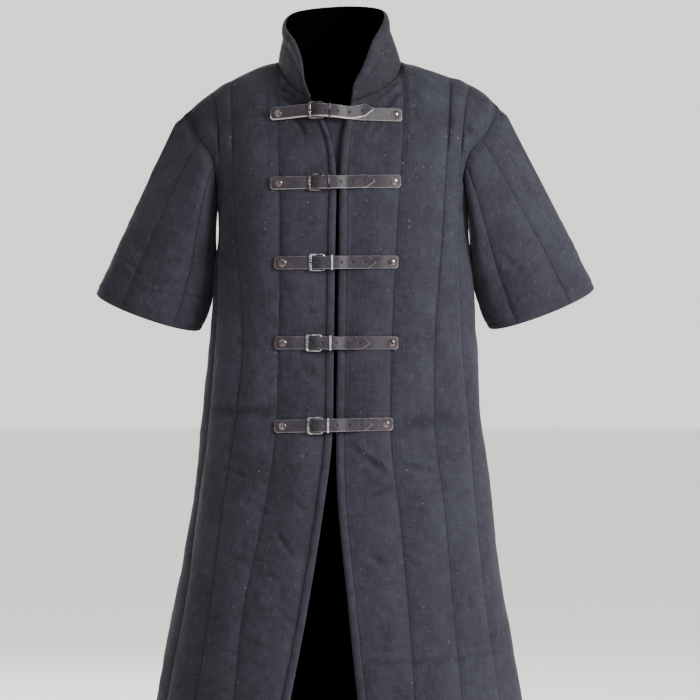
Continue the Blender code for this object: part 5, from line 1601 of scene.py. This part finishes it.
def strip(name, points, half_widths, holes, bare=0.0):
    """A flat strip along a row of middle points, with rounded edges of bare hide, barest below."""
    rings, facts = [], []
    alongs = lengths_along(points)
    for index, (point, half_width) in enumerate(zip(points, half_widths)):
        before, after = points[max(index - 1, 0)], points[min(index + 1, len(points) - 1)]
        course = after - before
        out = Vector((course.y, -course.x, 0)).normalized() * LEATHER / 2
        wave = 0.25 * MM * noise.noise(Vector((alongs[index] / 0.02, len(name), 0)))
        ring = []
        for across, rise, _ in STRIP_PROFILE:
            edge = half_width * across + wave * (1 if across > 0 else -1)
            ring.append(point + out * rise + Vector((0, 0, edge)))
            gap = min([sqrt((alongs[index] - place) ** 2 + edge ** 2) for place in holes] or [0.02])
            to_end = min(alongs[index], alongs[-1] - alongs[index])
            from_cut = min(half_width - abs(half_width * across), to_end)
            bared = bare if across < 0 else 0.0
            facts.append(Sewing(edge, alongs[index], gap, from_cut * (1 - 0.6 * bared), bared))
        rings.append(ring)
    edge_starts = [k for k, row in enumerate(STRIP_PROFILE) if row[2]]
    return swept(name, rings, (waxed_leather, raw_edge), edge_starts=edge_starts, facts=facts)


END_CORNER = 4.5 * MM


def round_end(distance):
    """Half the strap's width at a distance from its end, whose two corners are rounded."""
    if distance >= END_CORNER:
        return STRAP_WIDTH / 2
    return STRAP_WIDTH / 2 - END_CORNER + sqrt(END_CORNER ** 2 - (END_CORNER - distance) ** 2)


# %% [markdown]
# ## The parts of a closure
# The strap with the buckle, called the chape, folds round the buckle's bar. The holed strap, called the
# billet, passes under the far bar, over the prong, and through a metal keeper. Heights above the taut
# line follow from the leather's thickness and the wire's radius, so nothing cuts into anything.

# %% Sizes and heights of a closure
BAR_RADIUS = 1.3 * MM
BUCKLE_LENGTH = 24 * MM       # along the strap
BUCKLE_WIDTH = 27 * MM
BUCKLE_CORNER = 4 * MM
FRAME_FLAT, REST_FLAT = 1.2, 0.55   # how much wider than high the wire is, and what its rest bar adds
PRONG_RADIUS = 0.9 * MM
KEEPER_WIDTH = 3 * MM
KEEPER_BAND = 1.1 * MM
KEEPER_BEVEL = 0.25 * MM
KEEPER_CORNER = ((0, 1.2), (0.35, 0.35), (1.2, 0))   # mm taken off its depth and its height at a corner
FOLD_LENGTH = 18 * MM         # how far the chape's folded end comes back
TIP_LENGTH = 12 * MM
TIP_HALF_WIDTH = 1.5 * MM
CURL_REACH = 40 * MM          # over this length a worn tip has curled up
RIVET_RADIUS = 6.2 * MM
RIVET_HEIGHT = 2.4 * MM
RIVET_INSETS = (12 * MM, 10.5 * MM)   # from the strap's right end and from its left end
HOLE_PITCH = 18.5 * MM
CHAPE_MIDDLE = CLEAR + LEATHER / 2
BAR_MIDDLE = CLEAR + LEATHER + CLEAR + BAR_RADIUS
WRAP_RADIUS = BAR_RADIUS + CLEAR + LEATHER / 2
FOLD_MIDDLE = BAR_MIDDLE + WRAP_RADIUS
BILLET_HIGH = FOLD_MIDDLE + LEATHER + CLEAR
BILLET_OVER_CHAPE = CHAPE_MIDDLE + LEATHER + CLEAR
PRONG_LIFT = BAR_MIDDLE + BAR_RADIUS + CLEAR + PRONG_RADIUS


def buckle_bars(strap):
    """Where the buckle's two upright bars stand: first the one the prong rests on, then its pivot."""
    reach = BUCKLE_LENGTH / 2 - BAR_RADIUS
    return strap.buckle_x - reach, strap.buckle_x + reach


print("the billet's middle lies", round(BILLET_HIGH / MM, 2), "mm over the taut line")


# %% Straps
def rounded_places(start, toward):
    """Close cuts along a strap's end, then wider ones."""
    return [start + toward * step * MM for step in (0, 0.1, 0.3, 0.6, 1.1, 1.7, 2.5, 3.4, 4.5, 7.0, 10.0)]


def make_billet(label, line, strap):
    """The holed strap, from its riveted end over the buckle and the chape's fold to its tip."""
    from_x, tip_x = strap.right_x, strap.tip_x
    rest_bar, pivot_bar = buckle_bars(strap)
    fold_end = pivot_bar + FOLD_LENGTH
    climb_from, climb_to = rest_bar + 3 * MM, pivot_bar - 4 * MM
    drop_from, drop_to = fold_end + 2 * MM, fold_end + 22 * MM
    curl_length = 1.6 * TIP_LENGTH
    places = rounded_places(from_x, 1)
    places += even_steps(places[-1] + 3 * MM, tip_x - TIP_LENGTH, 60)
    places += even_steps(tip_x - TIP_LENGTH, tip_x, 10) + [tip_x]
    points, half_widths = [], []
    for x in places:
        lift = blend(CHAPE_MIDDLE, BILLET_HIGH, ease((x - climb_from) / (climb_to - climb_from)))
        lift -= (BILLET_HIGH - BILLET_OVER_CHAPE) * ease((x - drop_from) / (drop_to - drop_from))
        lift += strap.tip_lift * ease((x - tip_x + curl_length) / curl_length)
        curl = strap.curl * ease((x - tip_x) / CURL_REACH + 1)
        points.append(line.spot(x, lift) + Vector((0, 0, curl)))
        to_tip = (tip_x - x) / TIP_LENGTH
        pointed = blend(TIP_HALF_WIDTH, STRAP_WIDTH / 2, to_tip)
        half_widths.append(round_end(x - from_x) if to_tip > 1 else pointed)
    alongs = lengths_along(points)
    holes = [alongs[min(range(len(places)), key=lambda i: abs(places[i] - x))]
             for x in (strap.tip_x - TIP_LENGTH - 5 * MM - HOLE_PITCH * step for step in range(4))]
    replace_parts(strip(label + "_billet_leather", points, half_widths, holes, strap.bare), label + "_billet")


def make_chape(label, line, strap):
    """The buckle's strap, from its riveted end round the pivot bar and back on top of itself."""
    to_x = strap.left_x
    _, pivot_bar = buckle_bars(strap)
    ends = rounded_places(to_x, -1)
    places = [(x, CHAPE_MIDDLE) for x in ends]
    places += [(x, CHAPE_MIDDLE) for x in even_steps(ends[-1] - 3 * MM, pivot_bar + 1 * MM, 40)]
    for step in range(15):
        angle = pi / 2 + pi * step / 14
        places.append((pivot_bar + WRAP_RADIUS * cos(angle), BAR_MIDDLE - WRAP_RADIUS * sin(angle)))
    places += [(pivot_bar + FOLD_LENGTH * share, FOLD_MIDDLE) for share in (0.25, 0.5, 0.75, 1.0)]
    points = [line.spot(x, lift) for x, lift in places]
    half_widths = [round_end(to_x - x) if index < len(ends) else STRAP_WIDTH / 2
                   for index, (x, _) in enumerate(places)]
    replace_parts(strip(label + "_chape_leather", points, half_widths, [], 0.3 * strap.bare), label + "_chape")


# %% [markdown]
# ## Wire, keeper and rivets
# The frame and the prong are bent from wire, the keeper is a bent band, and a rivet has a domed head.
# They could be cut from solid blocks, but bending is what gives them their round corners. So each is
# made of rings of points along its own path, and one function closes them all.

# %% Bend a wire
def wire(name, points, radius, finish, is_loop=False, sides=14, widths=None):
    """A wire along a row of middle points in nearly one plane; widths flattens it in that plane."""
    count = len(points)
    middle = sum(points, Vector()) / count
    plane = (points[0] - middle).cross(points[count // 3] - middle).normalized()
    rings = []
    for index, point in enumerate(points):
        before = points[index - 1] if is_loop or index else point
        after = points[(index + 1) % count] if is_loop or index < count - 1 else point
        side = (after - before).normalized().cross(plane).normalized()
        side *= widths[index] if widths else 1.0
        rings.append([point + (side * cos(2 * pi * k / sides) + plane * sin(2 * pi * k / sides)) * radius
                      for k in range(sides)])
    return swept(name, rings, (finish,), is_loop)


# %% Buckle and prong
def make_buckle(label, line, strap, finish):
    """A rectangular wire frame with rounded corners."""
    rest_bar, pivot_bar = buckle_bars(strap)
    half_height = BUCKLE_WIDTH / 2 - BAR_RADIUS
    corner = BUCKLE_CORNER - BAR_RADIUS
    corners = ((pivot_bar, 1, 0), (rest_bar, 1, 90), (rest_bar, -1, 180), (pivot_bar, -1, 270))
    points, widths = [], []
    for x, rise, first in corners:
        inward = -1 if x == pivot_bar else 1
        for step in range(8):
            angle = radians(first + 90 * step / 7)
            near_rest = max(0.0, -cos(angle)) if x == rest_bar else 0.0
            widths.append(FRAME_FLAT + REST_FLAT * near_rest ** 2)
            points.append(line.spot(x + inward * corner + corner * cos(angle), BAR_MIDDLE)
                          + Vector((0, 0, rise * (half_height - corner) + corner * sin(angle))))
    frame_wire = wire(label + "_buckle_wire", points, BAR_RADIUS, finish, True, widths=widths)
    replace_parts(frame_wire, label + "_buckle")


def make_prong(label, line, strap):
    """A wire prong: its eye goes round the pivot bar and its tip lies on the other bar."""
    rest_bar, pivot_bar = buckle_bars(strap)
    eye = BAR_RADIUS + CLEAR + PRONG_RADIUS
    places = [(pivot_bar + eye * sin(radians(angle)), BAR_MIDDLE - eye * cos(radians(angle)))
              for angle in range(0, 181, 15)]
    places += [(blend(pivot_bar, rest_bar - 1 * MM, share), PRONG_LIFT) for share in (0.3, 0.6, 0.9, 1.0)]
    points = [line.spot(x, lift) for x, lift in places]
    prong = wire(label + "_prong_wire", points, PRONG_RADIUS, blackened_steel, sides=10)
    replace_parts(prong, label + "_prong")


# %% Keeper
def make_keeper(label, line, strap, finish):
    """A metal loop: its back lies inside the chape's fold and its front holds the billet down."""
    middle = buckle_bars(strap)[1] + strap.keeper
    band, bevel = KEEPER_BAND, KEEPER_BEVEL
    low = CHAPE_MIDDLE + LEATHER / 2 + 2 * CLEAR
    high = BILLET_HIGH + LEATHER / 2 + CLEAR + band
    half_height = STRAP_WIDTH / 2 + 2 * CLEAR + band
    half = KEEPER_WIDTH / 2
    section = ((-half, bevel), (-half + bevel, 0), (half - bevel, 0), (half, bevel),
               (half, band - bevel), (half - bevel, band), (-half + bevel, band), (-half, band - bevel))
    rings = []
    for lift, rise, inwards in ((low, -1, 1), (high, -1, -1), (high, 1, -1), (low, 1, 1)):
        comes_in = (lift == low) == (rise < 0)
        for off_lift, off_rise in KEEPER_CORNER if comes_in else KEEPER_CORNER[::-1]:
            ring = []
            for x, depth in section:
                outerness = 1 - depth / band
                spot = line.spot(middle + x, lift + inwards * (depth + off_lift * MM * outerness))
                ring.append(spot + Vector((0, 0, rise * (half_height - depth - off_rise * MM * outerness))))
            rings.append(ring)
    keeper = swept(label + "_keeper_band", rings, (finish,), is_loop=True)
    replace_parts(keeper, label + "_keeper")


# %% Rivets
RIVET_PROFILE = (
    # share of the radius, share of the height
    (0.96, 0.0), (1.0, 0.10), (1.0, 0.22), (0.95, 0.34), (0.88, 0.48), (0.76, 0.66),
    (0.60, 0.82), (0.42, 0.93), (0.22, 0.985), (0.05, 1.0),
)


def make_rivet(node, line, x, sides=28):
    """A domed head that sits on the leather."""
    out = line.normal(x)
    foot = line.spot(x, CLEAR + LEATHER + 0.1 * MM)
    up = Vector((0, 0, 1))
    aside = out.cross(up).normalized()
    spokes = [aside * cos(2 * pi * k / sides) + up * sin(2 * pi * k / sides) for k in range(sides)]
    rings = [[foot + out * RIVET_HEIGHT * rise + spoke * RIVET_RADIUS * width for spoke in spokes]
             for width, rise in RIVET_PROFILE]
    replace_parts(swept(node + "_head", rings, (antique_copper,)), node)


# %% Make the five closures
DULL_CLOSURES = 2             # the metal of the top two is the more tarnished

for number, strap in enumerate(STRAPS, 1):
    label, line = f"strap_{number}", TautLine(strap)
    is_dull = number <= DULL_CLOSURES
    make_billet(label, line, strap)
    make_chape(label, line, strap)
    make_buckle(label, line, strap, tarnished_nickel if is_dull else darkened_nickel)
    make_prong(label, line, strap)
    make_keeper(label, line, strap, tarnished_nickel if is_dull else bright_nickel)
    make_rivet(label + "_rivet_right", line, strap.right_x + RIVET_INSETS[0])
    make_rivet(label + "_rivet_left", line, strap.left_x - RIVET_INSETS[1])
    print(label, "bends", len(line.hull), "lies", round(line.forward(strap.buckle_x), 4), "forward")

# %% [markdown]
# ## Floor, light and camera
# The coat hangs over a plain pale floor in an even, pale room. One large soft light stands in front and
# to the coat's left, as in a studio, a faint one opposite keeps the far side from going black, and a
# third lights the back. The camera looks straight at the coat through a long lens, so the outline is
# nearly free of perspective.

# %% Light the coat and set the camera
def area_light(name, place, aim, size, power, colour):
    data = bpy.data.lights.new(name, "AREA")
    data.shape, data.size, data.energy, data.color = "DISK", size, power, colour
    lamp = bpy.data.objects.new(name, data)
    lamp.location = place
    lamp.rotation_mode = "QUATERNION"
    lamp.rotation_quaternion = (Vector(aim) - Vector(place)).to_track_quat("-Z", "Y")
    bpy.context.scene.collection.objects.link(lamp)


def plain_floor():
    mesh = bpy.data.meshes.new("floor")
    reach, low = 30.0, HEM - 0.25
    mesh.from_pydata([(-reach, -reach, low), (reach, -reach, low), (reach, reach, low), (-reach, reach, low)],
                     [], [(0, 1, 2, 3)])
    pale = Finish("pale_floor", {"Base Color": (0.83, 0.805, 0.78, 1), "Roughness": 0.9})
    mesh.materials.append(pale.material)
    floor = bpy.data.objects.new("floor", mesh)
    bpy.context.scene.collection.objects.link(floor)
    floor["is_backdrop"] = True


plain_floor()
world = bpy.data.worlds.new("pale_room")
world.use_nodes = True
background = world.node_tree.nodes["Background"].inputs
background["Color"].default_value = (0.90, 0.885, 0.865, 1)
background["Strength"].default_value = 1.6
bpy.context.scene.world = world
area_light("key_light", (2.2, -1.8, 0.45), (0.0, 0.0, -0.30), 1.2, 235, (1.0, 0.99, 0.98))
area_light("side_light", (-2.4, -2.2, 0.3), (0.0, 0.0, -0.5), 1.8, 3, (0.93, 0.95, 1.0))
area_light("back_light", (-1.2, 3.2, 1.0), (0.0, 0.0, -0.4), 2.0, 90, (1.0, 0.99, 0.97))

camera_data = bpy.data.cameras.new("camera")
camera_data.lens, camera_data.sensor_width = 160.7, 36.0
camera = bpy.data.objects.new("camera", camera_data)
camera.location = (0.016, -5.0, -0.458)
camera.rotation_euler = (pi / 2, 0, 0)
bpy.context.scene.collection.objects.link(camera)
bpy.context.scene.camera = camera

# %% [markdown]
# ## Both boxes
# The dressed coat has to stay inside the plain solids' box but for what cloth may stand proud.

# %% Print both boxes
dressed_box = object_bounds()
boxes = {"solids": [list(corner) for corner in solid_box],
         "dressed": [list(corner) for corner in dressed_box]}
for label, corners in boxes.items():
    print(label, [[round(v, 4) for v in corner] for corner in corners])
